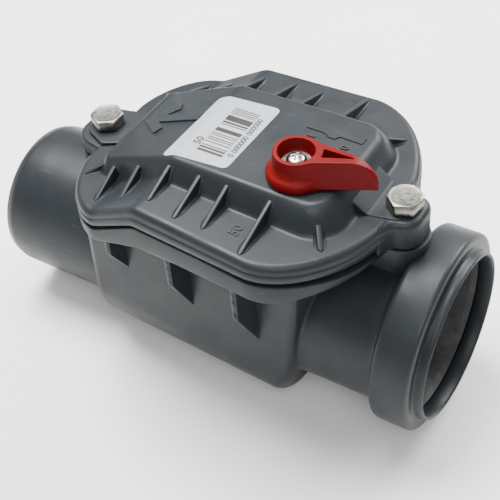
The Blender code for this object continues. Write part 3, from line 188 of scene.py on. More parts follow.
# pale acetal of the lock's cam and spindle, a slippery plastic
ACETAL = moulded_plastic("white acetal", "#D9D7CF", "#D0CEC5", "#ECEBE6", 0.32, 0.5)
# zinc plating on the hexagon bolts, the clamp screws and the washer
ZINC = plated_steel("zinc-plated steel", "#8B8A82", "#676862", 0.34, 1.2)
# stainless steel of the pan head screw, the hinge pin and the clip
STAINLESS = plated_steel("stainless steel", "#CDCBC6", "#A9A7A2", 0.22, 0.8)
# brass of the threaded inserts
BRASS = plated_steel("turned brass", "#C9A24C", "#A8843A", 0.28, 0.5)
# black EPDM of the seals
RUBBER = soft_rubber("black rubber", "#17181A", "#2A2C2E", 0.6)


# Table and light: a pale seamless table under soft boxes, as in a product photograph: a key box over the
# spigot end, a rim box behind the far side, a weak fill by the camera, and white air all round.
TABLE_HALF, TABLE_LEVEL = 3.0, -0.0002
table_mesh = bpy.data.meshes.new("table")
table_mesh.from_pydata([(x * TABLE_HALF, y * TABLE_HALF, TABLE_LEVEL)
                        for x, y in ((-1, -1), (1, -1), (1, 1), (-1, 1))], [], [(0, 1, 2, 3)])
put("table", table_mesh)
TABLE_PAINT, tree, shader, place = new_material("pale table lacquer")
tree.links.new(mixed(tree, ranged(tree, noise(tree, place, 60.0), 0.3, 0.7, 0.0, 1.0), "#EBEBEA", "#E8E8E7"),
               shader.inputs["Base Color"])
shader.inputs["Roughness"].default_value = 0.7
table_mesh.materials.append(TABLE_PAINT)


def soft_box(name, place, size, power, aim=(0.0, 0.0, 0.04)):
    """Square area light that stands at place and faces aim."""
    light = bpy.data.lights.new(name, "AREA")
    light.shape = "SQUARE"
    light.size = size
    light.energy = power
    stand = put(name, light)
    stand.location = place
    stand.rotation_euler = (Vector(aim) - Vector(place)).to_track_quat("-Z", "Y").to_euler()


soft_box("key_light", (-0.25, 0.10, 0.80), 0.50, 25.0)
soft_box("rim_light", (0.20, 0.70, 0.60), 0.50, 14.0)
soft_box("fill_light", (0.35, -0.55, 0.75), 0.50, 5.0)
world = bpy.data.worlds.new("studio")
world.use_nodes = True
world.node_tree.nodes["Background"].inputs["Color"].default_value = linear("#FFFFFF")
world.node_tree.nodes["Background"].inputs["Strength"].default_value = 0.50
bpy.context.scene.world = world


# Cover: one grey polypropylene moulding. A rim that follows the bent parting face, a hollow dome that climbs
# to a ridge, and a rounded edge all round; it is held down by a bolt in an ear at each end.
HALF_LENGTH = 78.5
AXIS_LEVEL = 28.9
FLANGE_START, FLANGE_END = 35.5, 137.0
RIM_LINE = ((35.5, 41.3), (54.0, 42.3), (71.0, 51.7), (109.0, 50.3), (137.0, 49.3))
SKIRT_LINE = ((35.5, 36.5), (54.0, 37.0), (70.0, 45.0), (109.0, 44.5), (126.0, 44.1), (137.0, 43.5))
OUTLET_WIDTH, INLET_WIDTH = 37.0, 40.9
OUTLET_CORNER, INLET_CORNER = (18.0, 13.0, 1.7), (28.0, 3.0, 1.85)
DOME_LOW, DOME_TOP, DOME_RISE_START, DOME_RIDGE = 47.0, 57.7, 47.0, 73.3
DOME_START, DOME_END = 43.0, 127.0
DOME_HALF_WIDTH = ((43.0, 16.8), (47.0, 18.1), (73.0, 19.3), (115.0, 20.2))
DOME_SPREAD = ((43.0, 2.7), (73.0, 4.2), (115.0, 4.1))
DOME_CORNERS = (4.5, 11.0)
SHOULDER_LINE = ((60.0, 0.22), (105.0, 0.34), (122.0, 0.55))
COVER_WALL = 2.5
RIM_ROUND = 2.1
RIM_FLAT = 9.5
SPINE = (62.0, 104.0)


def placed(stations, across, levels):
    """Points in metres in the part's frame from arrays of stations, across and levels in millimetres."""
    stations, across, levels = np.broadcast_arrays(stations, across, levels)
    return np.stack([stations - HALF_LENGTH, across, levels + AXIS_LEVEL], axis=-1).reshape(-1, 3) / 1000.0


def quads(rows, columns, closed_rows=False, closed_columns=False):
    """Faces of a grid of rows by columns of points, each the four corners of a cell; a closed side wraps."""
    r = np.arange(rows if closed_rows else rows - 1)
    c = np.arange(columns if closed_columns else columns - 1)
    r, c = (side.ravel() for side in np.meshgrid(r, c, indexing="ij"))
    after_r, after_c = (r + 1) % rows, (c + 1) % columns
    return np.stack([r * columns + c, after_r * columns + c, after_r * columns + after_c,
                     r * columns + after_c], axis=1)


def from_rings(rings, closed_rows=False):
    """Points and faces of a surface through closed rings, each given as its stations, across and levels."""
    return (np.concatenate([placed(*ring) for ring in rings]),
            quads(len(rings), len(rings[0][0]), closed_rows, closed_columns=True))


def shape(name, points, faces, finish, body="valve_body", stands_for=()):
    """Object at the origin from an array of points and an array of faces: doubles merged, faces turned
    outwards, shaded smooth, and riding on a CAD body."""
    mesh = bpy.data.meshes.new(name)
    mesh.from_pydata(points.tolist(), [], faces.tolist())
    cleaned = bmesh.new()
    cleaned.from_mesh(mesh)
    bmesh.ops.remove_doubles(cleaned, verts=cleaned.verts, dist=2e-6)
    bmesh.ops.recalc_face_normals(cleaned, faces=cleaned.faces)
    cleaned.to_mesh(mesh)
    cleaned.free()
    mesh.shade_smooth()
    if finish:
        mesh.materials.append(finish)
    made = put(name, mesh)
    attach(made, body)
    if stands_for:
        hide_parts(*stands_for)
    return made


def smooth_max(a, b, blend):
    """The larger of a and b with their meeting rounded: with h running from 0 to 1 across the difference,
    it is the mix of both by h plus blend * h * (1 - h)."""
    h = np.clip(0.5 + 0.5 * (a - b) / blend, 0.0, 1.0)
    return b + (a - b) * h + blend * h * (1.0 - h)


def smooth_min(a, b, blend):
    """The smaller of a and b, rounded in the same way."""
    return -smooth_max(-a, -b, blend)


def on_line(stations, line):
    """Value at each station of the broken line through (station, value) pairs."""
    return np.interp(stations, *np.transpose(line))


def bent(stations, line, softness=1.6):
    """Broken line through (station, level) pairs, its corners rounded by a mean over a short window."""
    offsets = np.linspace(-softness, softness, 9)
    return np.mean([on_line(stations + offset, line) for offset in offsets], axis=0)


def flange_outline(inset=0.0, corner_points=40, step=0.85):
    """Closed plan curve of the flanges, pushed in by inset: straight lines, and at each corner the curve
    (x / run) ** p + (y / rise) ** p = 1. One side runs from outlet to inlet, its mirror image runs back."""
    (near_run, near_flat, near_full), (far_run, far_flat, far_full) = OUTLET_CORNER, INLET_CORNER
    near, far = FLANGE_START + near_run, FLANGE_END - far_run
    near_rise, far_rise = OUTLET_WIDTH - near_flat - inset, INLET_WIDTH - far_flat - inset
    cos, sin = (wave(np.linspace(0.0, math.pi / 2, corner_points)).clip(0.0) for wave in (np.cos, np.sin))
    side = np.linspace(0.0, 1.0, int((far - near) / step))[1:-1]
    first = np.linspace(0.0, near_flat, int(near_flat / step))[:-1]
    last = np.linspace(far_flat, 0.0, int(far_flat / step))[1:]
    stations = np.concatenate([
        np.full(len(first), FLANGE_START + inset), near - (near_run - inset) * cos ** (2.0 / near_full),
        near + (far - near) * side, far + (far_run - inset) * sin ** (2.0 / far_full),
        np.full(len(last), FLANGE_END - inset)])
    across = np.concatenate([
        first, near_flat + near_rise * sin ** (2.0 / near_full),
        OUTLET_WIDTH - inset + (INLET_WIDTH - OUTLET_WIDTH) * side,
        far_flat + far_rise * cos ** (2.0 / far_full), last])
    return np.concatenate([stations, stations[-2:0:-1]]), np.concatenate([across, -across[-2:0:-1]])


def inward(outline, share):
    """The closed plan curve drawn in towards the spine, a stretch of the centre line: each point goes that
    share of the way to the nearest point of the spine."""
    stations, across = outline
    spine = np.clip(stations, *SPINE)
    return spine + (stations - spine) * (1.0 - share), across * (1.0 - share)


def dome_spread(stations):
    return on_line(stations, DOME_SPREAD)


def plan_depth(stations, across, foot=0.0):
    """How far a point lies inside the dome's foot in plan: the signed distance to a rectangle with round
    corners that widens a little to the inlet, positive inside; foot shrinks the rectangle."""
    half = on_line(stations, DOME_HALF_WIDTH) + dome_spread(stations) - foot
    middle = (DOME_START + DOME_END) / 2
    corner = np.where(stations <= middle, *DOME_CORNERS)
    past_side = np.abs(across) - (half - corner)
    past_end = np.abs(stations - middle) - ((DOME_END - DOME_START) / 2 - foot - corner)
    outside = np.hypot(np.maximum(past_side, 0.0), np.maximum(past_end, 0.0))
    return corner - outside - np.minimum(np.maximum(past_side, past_end), 0.0)


def rim_level(stations):
    return bent(stations, RIM_LINE)


def skirt_level(stations):
    return bent(stations, SKIRT_LINE, 0.6)


def crown_level(stations):
    return bent(stations, ((DOME_RISE_START, DOME_LOW), (DOME_RIDGE, DOME_TOP)), 0.9)


def cover_level(stations, across):
    """Level of the cover's upper face: the rim, and the dome above it. The dome's flank climbs from 0 to 1
    over dome_spread in plan, with a hollow foot and a rounded shoulder, between the rim and the crown."""
    depth = plan_depth(stations, across)
    climb = smooth_min(smooth_max(depth / dome_spread(stations), 0.0, 0.16), 1.0, on_line(stations, SHOULDER_LINE))
    return rim_level(stations) + (crown_level(stations) - rim_level(stations)) * climb


def under_level(stations, across):
    """Level of the cover's inner face: the upper face brought down by the wall, its dome narrower by it."""
    depth = plan_depth(stations, across, COVER_WALL)
    climb = np.clip(depth / dome_spread(stations), 0.0, 1.0)
    return (rim_level(stations) + (crown_level(stations) - rim_level(stations)) * climb) - COVER_WALL


def cover_rings():
    """Rings from the centre of the upper face outwards, over the rounded rim, down the skirt with its fine
    step half way down, in along the parting face, and back under the dome to its centre."""
    edge = flange_outline(RIM_ROUND)
    shares = np.concatenate([np.linspace(1.0, 0.62, 30)[:-1], np.linspace(0.62, 0.22, 62)[:-1],
                             np.linspace(0.22, 0.0, 16)])
    rings = [(s, a, cover_level(s, a)) for s, a in (inward(edge, share) for share in shares)]
    for turn in np.linspace(0.0, math.pi / 2, 9)[1:]:
        s, a = flange_outline(RIM_ROUND * (1.0 - math.sin(turn)) + 0.25)
        rings.append((s, a, rim_level(s) - RIM_ROUND * (1.0 - math.cos(turn))))
    for share, inset in ((0.50, 0.25), (0.53, 0.18), (0.56, 0.0), (0.95, 0.0), (1.0, 0.3)):
        s, a = flange_outline(inset)
        rings.append((s, a, rim_level(s) + (skirt_level(s) - rim_level(s)) * share))
    for inset in (RIM_FLAT - 0.4, RIM_FLAT):
        s, a = flange_outline(inset)
        rings.append((s, a, skirt_level(s)))
    inner = flange_outline(RIM_FLAT)
    for share in (0.02, 0.06, 0.1, 0.2, 0.3, 0.4, 0.6, 0.8, 1.0):
        s, a = inward(inner, share)
        rings.append((s, a, under_level(s, a)))
    return rings


cover = shape("cover_moulding", *from_rings(cover_rings()), GREY, stands_for=("cover",))


# Ribs on the cover: thin webs moulded in one with it, six a side and one at each corner, which carry the
# bolts' pull from the rim up to the dome. Each narrows to its crest, flares at its foot and runs out at the rim.
RIBS = ((51.8, 31.8), (61.4, 31.1), (73.1, 32.7), (83.4, 35.2), (92.6, 34.9), (106.6, 38.4))
RIB_ROOT = 20.8
CORNER_RIBS = ((48.6, 15.5, 138.0, 10.5), (118.0, 15.8, 56.0, 13.0))
RIB_CREST, RIB_DRAFT, RIB_FOOT = 0.62, 0.085, 0.9
RIB_END = 1.3
RIB_BELOW_CROWN, RIB_ABOVE_RIM = 1.6, 0.2
FIN_ROWS, FIN_SINK = 44, 0.5


def fin(start, tip, crest, ground, half=RIB_CREST, draft=RIB_DRAFT, foot=RIB_FOOT, way=1.0, end=RIB_END,
        crown_height=RIB_CREST / 3.0):
    """Web from the plan point start to tip. Its section is a rounded crest, two flanks that spread by draft
    times the drop, and a quarter circle of radius foot onto the ground; across the last end of its length
    the width falls as the side of an ellipse. way is -1 for a web that hangs."""
    along = np.concatenate([np.linspace(0.0, 0.85, FIN_ROWS),
                            1.0 - 0.15 * np.cos(np.linspace(0.0, math.pi / 2, 18))[1:]])
    start, tip = np.array(start), np.array(tip)
    length = np.hypot(*(tip - start))
    heading = (tip - start) / length
    spine = start + along[:, None] * (tip - start)
    base = ground(spine[:, :1], spine[:, 1:])
    top = crest(spine[:, :1], spine[:, 1:])
    height = np.maximum(way * (top - base), 0.05)
    # one flank: the crown's quarter circle, then shares of the height down to the ground
    turn, flank = np.linspace(0.0, math.pi / 2, 6), np.linspace(0.06, 1.0, 12)
    drop = np.concatenate([np.tile(crown_height * (1.0 - np.cos(turn)), (len(along), 1)), flank * height], axis=1)
    drop = np.minimum(np.maximum.accumulate(drop, axis=1), height)
    left = height - drop
    reach = np.minimum(foot, height * 0.8)
    flare = np.where(left < reach, reach - np.sqrt(np.maximum(reach ** 2 - (reach - left) ** 2, 0.0)), 0.0)
    width = half * np.sin(np.append(turn, np.full(len(flank), math.pi / 2))) + draft * drop + flare
    width[:, 0] = 0.0
    past = np.clip((along * length - (length - end)) / end, 0.0, 1.0)
    width = width * np.sqrt(np.clip(1.0 - past ** 2, 0.0, 1.0))[:, None]
    # it goes on below the ground, and the other flank runs back up
    level = np.concatenate([top - way * drop, top - way * (drop[:, -1:] + FIN_SINK)], axis=1)
    width = np.concatenate([width, width[:, -1:]], axis=1)
    share = np.concatenate([drop / height, np.ones((len(along), 1))], axis=1)
    level, share = (np.concatenate([side, side[:, :0:-1]], axis=1) for side in (level, share))
    width = np.concatenate([width, -width[:, :0:-1]], axis=1)
    stations, across = spine[:, :1] - heading[1] * width, spine[:, 1:] + heading[0] * width
    level = level + (ground(stations, across) - base) * share ** 2
    rows, columns = level.shape
    points = placed(stations, across, level)
    last = (rows - 1) * columns
    caps = []
    for first, middle in ((0, rows * columns), (last, rows * columns + 1)):
        ring = first + np.arange(columns)
        caps.append(np.stack([ring, np.roll(ring, -1)] + [np.full(columns, middle)] * 2, axis=1))
    points = np.concatenate([points, [points[:columns].mean(axis=0), points[last:].mean(axis=0)]])
    return points, np.concatenate([quads(rows, columns, closed_columns=True), *caps])


def joined(parts):
    """One array of points and one of faces from several pairs, the later faces counted on from the earlier."""
    starts = np.cumsum([0] + [len(points) for points, _ in parts[:-1]])
    return (np.concatenate([points for points, _ in parts]),
            np.concatenate([faces + start for (_, faces), start in zip(parts, starts)]))


def rib_crest(root, tip):
    """Straight crest line between two plan points: from just below the crown to just above the rim."""
    (s0, a0), (s1, a1) = root, tip
    high = crown_level(np.array(s0)) - RIB_BELOW_CROWN
    low = rim_level(np.array(s1)) + RIB_ABOVE_RIM

    def level(stations, across):
        share = ((stations - s0) * (s1 - s0) + (across - a0) * (a1 - a0)) / ((s1 - s0) ** 2 + (a1 - a0) ** 2)
        return high + (low - high) * share
    return level


def flange_half_width(station):
    """Half width of the flanges at a station, read off their outline."""
    stations, across = flange_outline()
    half = len(stations) // 2
    return float(np.interp(station, stations[:half], across[:half]))


fins = []
for side in (-1.0, 1.0):
    for station, tip_across in RIBS:
        root, tip = (station, side * RIB_ROOT), (station, side * tip_across)
        fins.append(fin(root, tip, rib_crest(root, tip), cover_level))
    for station, across, heading, reach in CORNER_RIBS:
        root = (station, side * across)
        tip = (station + reach * math.cos(math.radians(heading)),
               side * (across + reach * math.sin(math.radians(heading))))
        fins.append(fin(root, tip, rib_crest(root, tip), cover_level, half=RIB_CREST + 0.1))
shape("cover_ribs", *joined(fins), GREY, stands_for=("cover",))


# Bolt ears: thick rounded lugs at the ends of the cover, moulded with it, each with a raised pad under the
# bolt's head. The outlet ear is flush with the rim; the inlet ear stands higher, and a bridge slopes up to it.
OUTLET_BOLT, INLET_BOLT = 33.5, 137.2
OUTLET_EAR_FOOT, OUTLET_EAR_TOP, OUTLET_SEAT = 36.4, 41.3, 42.5
INLET_EAR_FOOT, INLET_SEAT = 40.1, 49.75
EAR_REACH = 8.0


def slab(stations, across, foot, top, edge=1.2, foot_edge=0.4, top_rings=14):
    """Closed slab over a convex plan curve: rings shrink to the middle over its top, turn a quarter circle of
    radius edge down to its side, drop to its foot and shrink again. foot and top are functions of the place."""
    middle = np.array([stations.mean(), across.mean()])
    ahead = np.stack([np.roll(stations, -1) - np.roll(stations, 1), np.roll(across, -1) - np.roll(across, 1)])
    normal = np.stack([ahead[1], -ahead[0]]) / np.maximum(np.hypot(*ahead), 1e-9)
    normal *= np.sign(np.mean(normal[0] * (stations - middle[0]) + normal[1] * (across - middle[1])))
    rings = []
    for share in np.linspace(0.0, 1.0, top_rings):
        s = middle[0] + (stations - edge * normal[0] - middle[0]) * share
        a = middle[1] + (across - edge * normal[1] - middle[1]) * share
        rings.append((s, a, top(s, a)))
    for turn in np.linspace(0.0, math.pi / 2, 7)[1:]:
        inset = edge * (1.0 - math.sin(turn))
        s, a = stations - inset * normal[0], across - inset * normal[1]
        rings.append((s, a, top(s, a) - edge * (1.0 - math.cos(turn))))
    for turn in np.linspace(0.0, math.pi / 2, 4):
        inset = foot_edge * (1.0 - math.cos(turn))
        s, a = stations - inset * normal[0], across - inset * normal[1]
        rings.append((s, a, foot(s, a) + foot_edge * (1.0 - math.sin(turn))))
    s, a = (np.full(len(stations), centre) for centre in middle)
    rings.append((s, a, foot(s, a)))
    return from_rings(rings)


def round_polygon(corners, radius, corner_points=7):
    """Closed plan curve through a convex polygon's corners, each turned into an arc of the given radius."""
    stations, across = [], []
    corners = [np.array(corner, float) for corner in corners]
    radii = radius if isinstance(radius, (list, tuple)) else [radius] * len(corners)
    for before, corner, after, round_radius in zip(corners[-1:] + corners[:-1], corners,
                                                   corners[1:] + corners[:1], radii):
        into, out = before - corner, after - corner
        into, out = into / np.hypot(*into), out / np.hypot(*out)
        half = math.acos(max(-1.0, min(1.0, float(into @ out)))) / 2
        centre = corner + (into + out) / np.hypot(*(into + out)) * round_radius / math.sin(half)
        first = corner + into * round_radius / math.tan(half) - centre
        last = corner + out * round_radius / math.tan(half) - centre
        for share in np.linspace(0.0, 1.0, corner_points):
            spoke = first * (1.0 - share) + last * share
            spoke = spoke / np.hypot(*spoke) * round_radius
            stations.append(centre[0] + spoke[0])
            across.append(centre[1] + spoke[1])
    stations, across = np.array(stations), np.array(across)
    steps = np.hypot(np.diff(stations, append=stations[:1]), np.diff(across, append=across[:1]))
    length = np.concatenate([[0.0], np.cumsum(steps)])
    even = np.linspace(0.0, length[-1], 97)[:-1]
    return (np.interp(even, length, np.append(stations, stations[0])),
            np.interp(even, length, np.append(across, across[0])))


def flat(level):
    """Function of the place that gives the same level everywhere."""
    return lambda stations, across: np.full(np.shape(stations), float(level))


OUTLET_EAR = ((OUTLET_BOLT - EAR_REACH, -8.4), (45.0, -12.6), (45.0, 12.6), (OUTLET_BOLT - EAR_REACH, 8.4))
PAD_CORNERS = ((28.4, -5.2), (37.5, -9.3), (43.2, -6.2), (43.2, 6.2), (37.5, 9.3), (28.4, 5.2))
INLET_EAR = ((143.8, -6.6), (143.8, 6.6), (137.7, 7.7), (135.2, 13.0), (130.5, 10.0), (130.5, -10.0),
             (135.2, -13.0), (137.7, -7.7))
BRIDGE = ((120.0, -8.8), (130.4, -8.2), (130.4, 8.2), (120.0, 8.8))
BRIDGE_SLOPE = ((120.0, 57.1), (129.9, 49.74))
BOLT_FACET = ((129.4, -8.2), (138.6, -5.9), (138.6, 5.9), (129.4, 8.2))
KEEL = ((134.3, 12.2), (135.9, 11.6), (136.0, 12.5), (135.2, 13.2))

ear_parts = [
    slab(*round_polygon(OUTLET_EAR, [7.6, 1.0, 1.0, 7.6]), flat(OUTLET_EAR_FOOT), flat(OUTLET_EAR_TOP)),
    slab(*round_polygon(PAD_CORNERS, [4.4, 1.0, 0.6, 0.6, 1.0, 4.4]),
         flat(OUTLET_EAR_TOP - 0.6), flat(OUTLET_SEAT), edge=0.4),
    slab(*round_polygon(INLET_EAR, [5.4, 5.4, 3.0, 0.8, 0.5, 0.5, 0.8, 3.0]), flat(INLET_EAR_FOOT),
         lambda s, a: rim_level(s) + 0.04 - 0.03 * np.maximum(136.0 - s, 0.0) ** 2, edge=2.0, foot_edge=0.5),
    slab(*round_polygon(BRIDGE, 0.6), flat(44.0), lambda s, a: on_line(s, BRIDGE_SLOPE), edge=0.3),
    slab(*round_polygon(BOLT_FACET, 0.6), flat(46.0), flat(INLET_SEAT), edge=0.25),
]
for side in (-1.0, 1.0):
    keel = [(station, side * across) for station, across in KEEL]
    ear_parts.append(slab(*round_polygon(keel, 0.3), flat(40.6), flat(46.4), edge=0.5))
shape("cover_ears", *joined(ear_parts), GREY, stands_for=("cover",))


# Cover bolts: two zinc-plated steel hexagon screws, their heads cold formed with a rounded chamfer on top.
# Each clamps its ear through a brass insert in the housing.
HEAD_CORNER, HEAD_HEIGHT, HEAD_CHAMFER = 5.45, 4.0, 0.52
SHANK_RADIUS, SHANK_DEPTH = 2.9, 3.0
CORNER_LOSS = 0.018


def hexagon(angles, corner):
    """Distance from the middle to a hexagon's side at each angle, its corners slightly rounded."""
    folded = np.abs((angles + math.pi / 6) % (math.pi / 3) - math.pi / 6)
    folded = math.pi / 6 - np.abs(math.pi / 6 - folded % (math.pi / 3))
    return (corner * math.cos(math.pi / 6) / np.cos(math.pi / 6 - folded)
            * (1.0 - CORNER_LOSS * np.exp(-(folded / 0.05) ** 2)))


def bolt(station, seat, turn, columns=144):
    """Hexagon head with a top chamfered by a cone, a washer face below it and a round shank: every ring is
    a hexagon, or the circle where that is smaller."""
    angles = np.linspace(0.0, 2 * math.pi, columns, endpoint=False)
    hexed = hexagon(angles - math.radians(turn), HEAD_CORNER)
    inner = HEAD_CORNER * math.cos(math.pi / 6)
    face = inner * 0.96
    rings = [(inner * share, HEAD_HEIGHT - below)
             for share, below in ((0.0, 0.18), (0.45, 0.2), (0.8, 0.12), (0.92, 0.05), (0.96, 0.0))]
    for over in np.linspace(0.0, 1.0, 9):
        radius = np.minimum(face + (HEAD_CORNER - face) * over, hexed)
        rings.append((radius, HEAD_HEIGHT - (radius - face) * HEAD_CHAMFER))
    rings += [(hexed, 0.55), (hexed * 0.985, 0.35), (inner * 0.97, 0.3), (inner * 0.97, 0.02), (SHANK_RADIUS, 0.02),
              (SHANK_RADIUS, -SHANK_DEPTH), (0.0, -SHANK_DEPTH)]
    return from_rings([(station + radius * np.cos(angles), radius * np.sin(angles), seat + level)
                       for radius, level in rings])


for name, station, seat, turn in (("outlet", OUTLET_BOLT, OUTLET_SEAT, 31.3), ("inlet", INLET_BOLT, INLET_SEAT, 21.7)):
    shape("bolt_head_" + name, *bolt(station, seat, turn), ZINC, stands_for=("cover_bolt_" + name,))


# Housing: spigot, chamber and socket in one grey polypropylene moulding of even wall. The chamber is a trough
# with upright sides and a rounded floor that falls to the inlet; its open top lies under the cover.
PIPE_RADIUS, PASSAGE_RADIUS, SOCKET_OUTER, SOCKET_RISE = 25.0, 23.0, 26.9, 4.8
# HALFWAY parts the spigot's side from the socket's; OPEN_SPAN is the stretch under the open top
HALFWAY, OPEN_SPAN, TOP_GAP = 78.0, (39.0, 116.0), 0.1
CHAMBER_START, CHAMBER_END, CHAMBER_HALF, CHAMBER_WALL, CHAMBER_FALL = 40.0, 116.5, 30.0, 2.4, 3.9
START_ROUND, END_ROUNDS, END_FILLETS, END_DRAFT = 4.0, ((-16.0, 5.0), (-4.0, 2.6)), (2.4, 1.4), 0.03
END_LINE = ((-30.0, 110.9), (-20.0, 111.3), (-12.0, 113.2), (-4.0, 115.3), (4.0, 116.3), (17.5, 117.6),
            (30.0, 119.3), (44.0, 119.8))
SEAT_LINE = ((35.5, 35.1), (54.0, 35.7), (70.5, 44.4), (94.0, 44.2), (109.0, 43.3), (126.0, 42.3), (137.0, 40.0))
SPIGOT_PROFILE = ((23.0, 0.35), (23.35, 0.0), (23.9, 0.0), (24.15, 0.12), (24.9, 2.6), (25.0, 3.2))
SOCKET_PROFILE = (
    (26.9, 126.0), (26.9, 132.0), (26.9, 138.0), (26.9, 139.9), (27.1, 140.4), (27.6, 140.75), (30.2, 141.7),
    (30.9, 142.1), (31.3, 142.75), (31.4, 143.5), (31.4, 148.0), (31.4, 152.3), (31.3, 153.0), (30.9, 153.5),
    (30.2, 153.85), (29.3, 153.9), (27.7, 153.9), (27.1, 154.0), (26.9, 154.4), (26.9, 155.6), (26.8, 156.3),
    (26.45, 156.8), (26.2, 157.0), (26.0, 156.95), (25.6, 156.2), (25.35, 154.6), (25.3, 154.0),
    (25.3, 152.4), (25.5, 152.1), (29.2, 152.1), (29.6, 151.7), (29.6, 143.1), (29.2, 142.7), (25.5, 142.6),
    (25.3, 142.3), (25.3, 136.0), (25.3, 127.0), (25.3, 119.0), (24.9, 118.5), (23.3, 118.5), (23.0, 118.2),
    (23.0, 116.5))


def seat_level(stations):
    return bent(stations, SEAT_LINE, 0.6)


def chamber_distance(stations, across, levels, wall=0.0):
    """Signed distance to the trough, shrunk by wall: a rectangle with rounded lower corners in section, drawn
    along the pipe to an inlet end that follows END_LINE by level, with its end edges rounded, and cut off at the
    top below the parting face."""
    share = (stations - CHAMBER_START) / (CHAMBER_END - CHAMBER_START)
    bow = 25.0 - 5.0 * share - wall
    past_side = np.abs(across) - (CHAMBER_HALF - wall - bow)
    past_floor = -PIPE_RADIUS - CHAMBER_FALL * share + wall + bow - levels
    section = (np.hypot(np.maximum(past_side, 0.0), np.maximum(past_floor, 0.0))
               + np.minimum(np.maximum(past_side, past_floor), 0.0) - bow)
    past_end = np.maximum(CHAMBER_START + END_DRAFT * (levels + PIPE_RADIUS) - stations,
                          stations - bent(levels, END_LINE, 2.0)) + wall
    bend = np.where(stations < HALFWAY, START_ROUND, on_line(levels, END_ROUNDS)) - wall
    body = (np.hypot(np.maximum(section + bend, 0.0), np.maximum(past_end + bend, 0.0))
            + np.minimum(np.maximum(section, past_end) + bend, 0.0) - bend)
    return np.maximum(body, levels - (seat_level(stations) - TOP_GAP))


def outer_distance(stations, across, levels):
    """Signed distance to the housing's outside: trough and pipes joined, with a fillet where they meet."""
    pipe = np.where(stations < HALFWAY, np.hypot(across, levels) - PIPE_RADIUS,
                    np.hypot(across, levels - SOCKET_RISE) - SOCKET_OUTER)
    return smooth_min(pipe, chamber_distance(stations, across, levels), np.where(stations < HALFWAY, *END_FILLETS))


def inner_distance(stations, across, levels):
    """Signed distance to the housing's inside: the trough less its wall, joined with the two bores."""
    bore = np.where(stations < HALFWAY, np.hypot(across, levels), np.hypot(across, levels - SOCKET_RISE))
    return smooth_min(bore - PASSAGE_RADIUS, chamber_distance(stations, across, levels, CHAMBER_WALL), 0.8)


def halved(low, high, inside, count):
    """Greatest value from low to high for which inside still holds, found by halving the range count times."""
    for _ in range(count):
        middle = (low + high) / 2
        held = inside(middle)
        low, high = np.where(held, middle, low), np.where(held, high, middle)
    return low


def ray_middle(stations):
    """Level that the rays start from: the spigot's axis, then a slant up to the socket's axis."""
    return on_line(stations, ((48.0, 0.0), (108.0, SOCKET_RISE)))


def reach(distance, stations, angles):
    """Radius at which each ray leaves the solid."""
    low, high = (np.full(np.broadcast_shapes(stations.shape, angles.shape), end) for end in (15.0, 75.0))
    return halved(low, high, lambda radius: distance(
        stations + 0.0 * radius, radius * np.sin(angles), ray_middle(stations) - radius * np.cos(angles)) < 0.0, 22)


def spaced(*spans):
    """Stations joined from spans of (start, end, step)."""
    return np.unique(np.round(np.concatenate([np.arange(start, end + step / 2, step)
                                              for start, end, step in spans]), 4))


RAY_COUNT = 192
angles = np.linspace(-math.pi, math.pi, RAY_COUNT, endpoint=False)[None, :]
shell_stations = spaced((37.0, 39.0, 0.5), (39.2, 42.0, 0.2), (42.2, 48.0, 0.4), (50.0, 104.0, 2.0),
                        (105.0, 107.0, 0.5), (107.12, 121.04, 0.12), (121.5, 124.0, 0.5))[:, None]
inner_stations = shell_stations[(shell_stations[:, 0] >= OPEN_SPAN[0]) & (shell_stations[:, 0] <= OPEN_SPAN[1])][::-2]
rows = [(station, 0.0, radius) for radius, station in SPIGOT_PROFILE]
rows += [(station, 0.0, PIPE_RADIUS) for station in (10.0, 20.0, 30.0)]
rows += zip(shell_stations[:, 0], ray_middle(shell_stations[:, 0]), reach(outer_distance, shell_stations, angles))
rows += [(station, SOCKET_RISE, radius) for radius, station in SOCKET_PROFILE]
rows += zip(inner_stations[:, 0], ray_middle(inner_stations[:, 0]), reach(inner_distance, inner_stations, angles))
rows += [(station, 0.0, PASSAGE_RADIUS) for station in (30.0, 20.0, 10.0, 2.0)]
stations, middles = (np.array([row[column] for row in rows])[:, None] for column in (0, 1))
radii = np.stack([np.broadcast_to(row[2], RAY_COUNT) for row in rows])
points = placed(stations, radii * np.sin(angles), middles - radii * np.cos(angles))
faces = quads(len(rows), RAY_COUNT, closed_rows=True, closed_columns=True)
# the open top: cells whose four inner corners lie in the cut-off plane go, inside and outside alike
inner_levels = middles - reach(inner_distance, stations, angles) * np.cos(angles)
open_top = ((stations >= OPEN_SPAN[0]) & (stations <= OPEN_SPAN[1])
            & (inner_levels > seat_level(stations) - TOP_GAP - 0.02))
shape("housing_shell", points, faces[~open_top.ravel()[faces].all(axis=1)], GREY, stands_for=("housing",))


# Housing flange: a rounded band round the chamber's mouth, moulded in one with it, whose flat upper face
# carries the gasket. It bends up from the outlet to the inlet as the cover's rim does.
FOOT_LINE = ((35.5, 30.4), (54.0, 30.5), (70.0, 35.8), (84.0, 36.6), (106.0, 36.5), (116.0, 35.8), (137.0, 39.2))
HOLE_START, HOLE_END, HOLE_HALF, HOLE_ROUND = 41.8, 114.7, 28.2, 4.0


def flange_foot(stations, across=0.0):
    return bent(stations, FOOT_LINE, 0.8) + 0.0 * across


def hole_outline(outline):
    """Each point of the outline moved to the nearest point of the mouth, a rectangle with round corners."""
    s, a = outline
    near_s = np.clip(s, HOLE_START + HOLE_ROUND, HOLE_END - HOLE_ROUND)
    near_a = np.clip(a, -HOLE_HALF + HOLE_ROUND, HOLE_HALF - HOLE_ROUND)
    away = np.maximum(np.hypot(s - near_s, a - near_a), 1e-6)
    return near_s + (s - near_s) / away * HOLE_ROUND, near_a + (a - near_a) / away * HOLE_ROUND


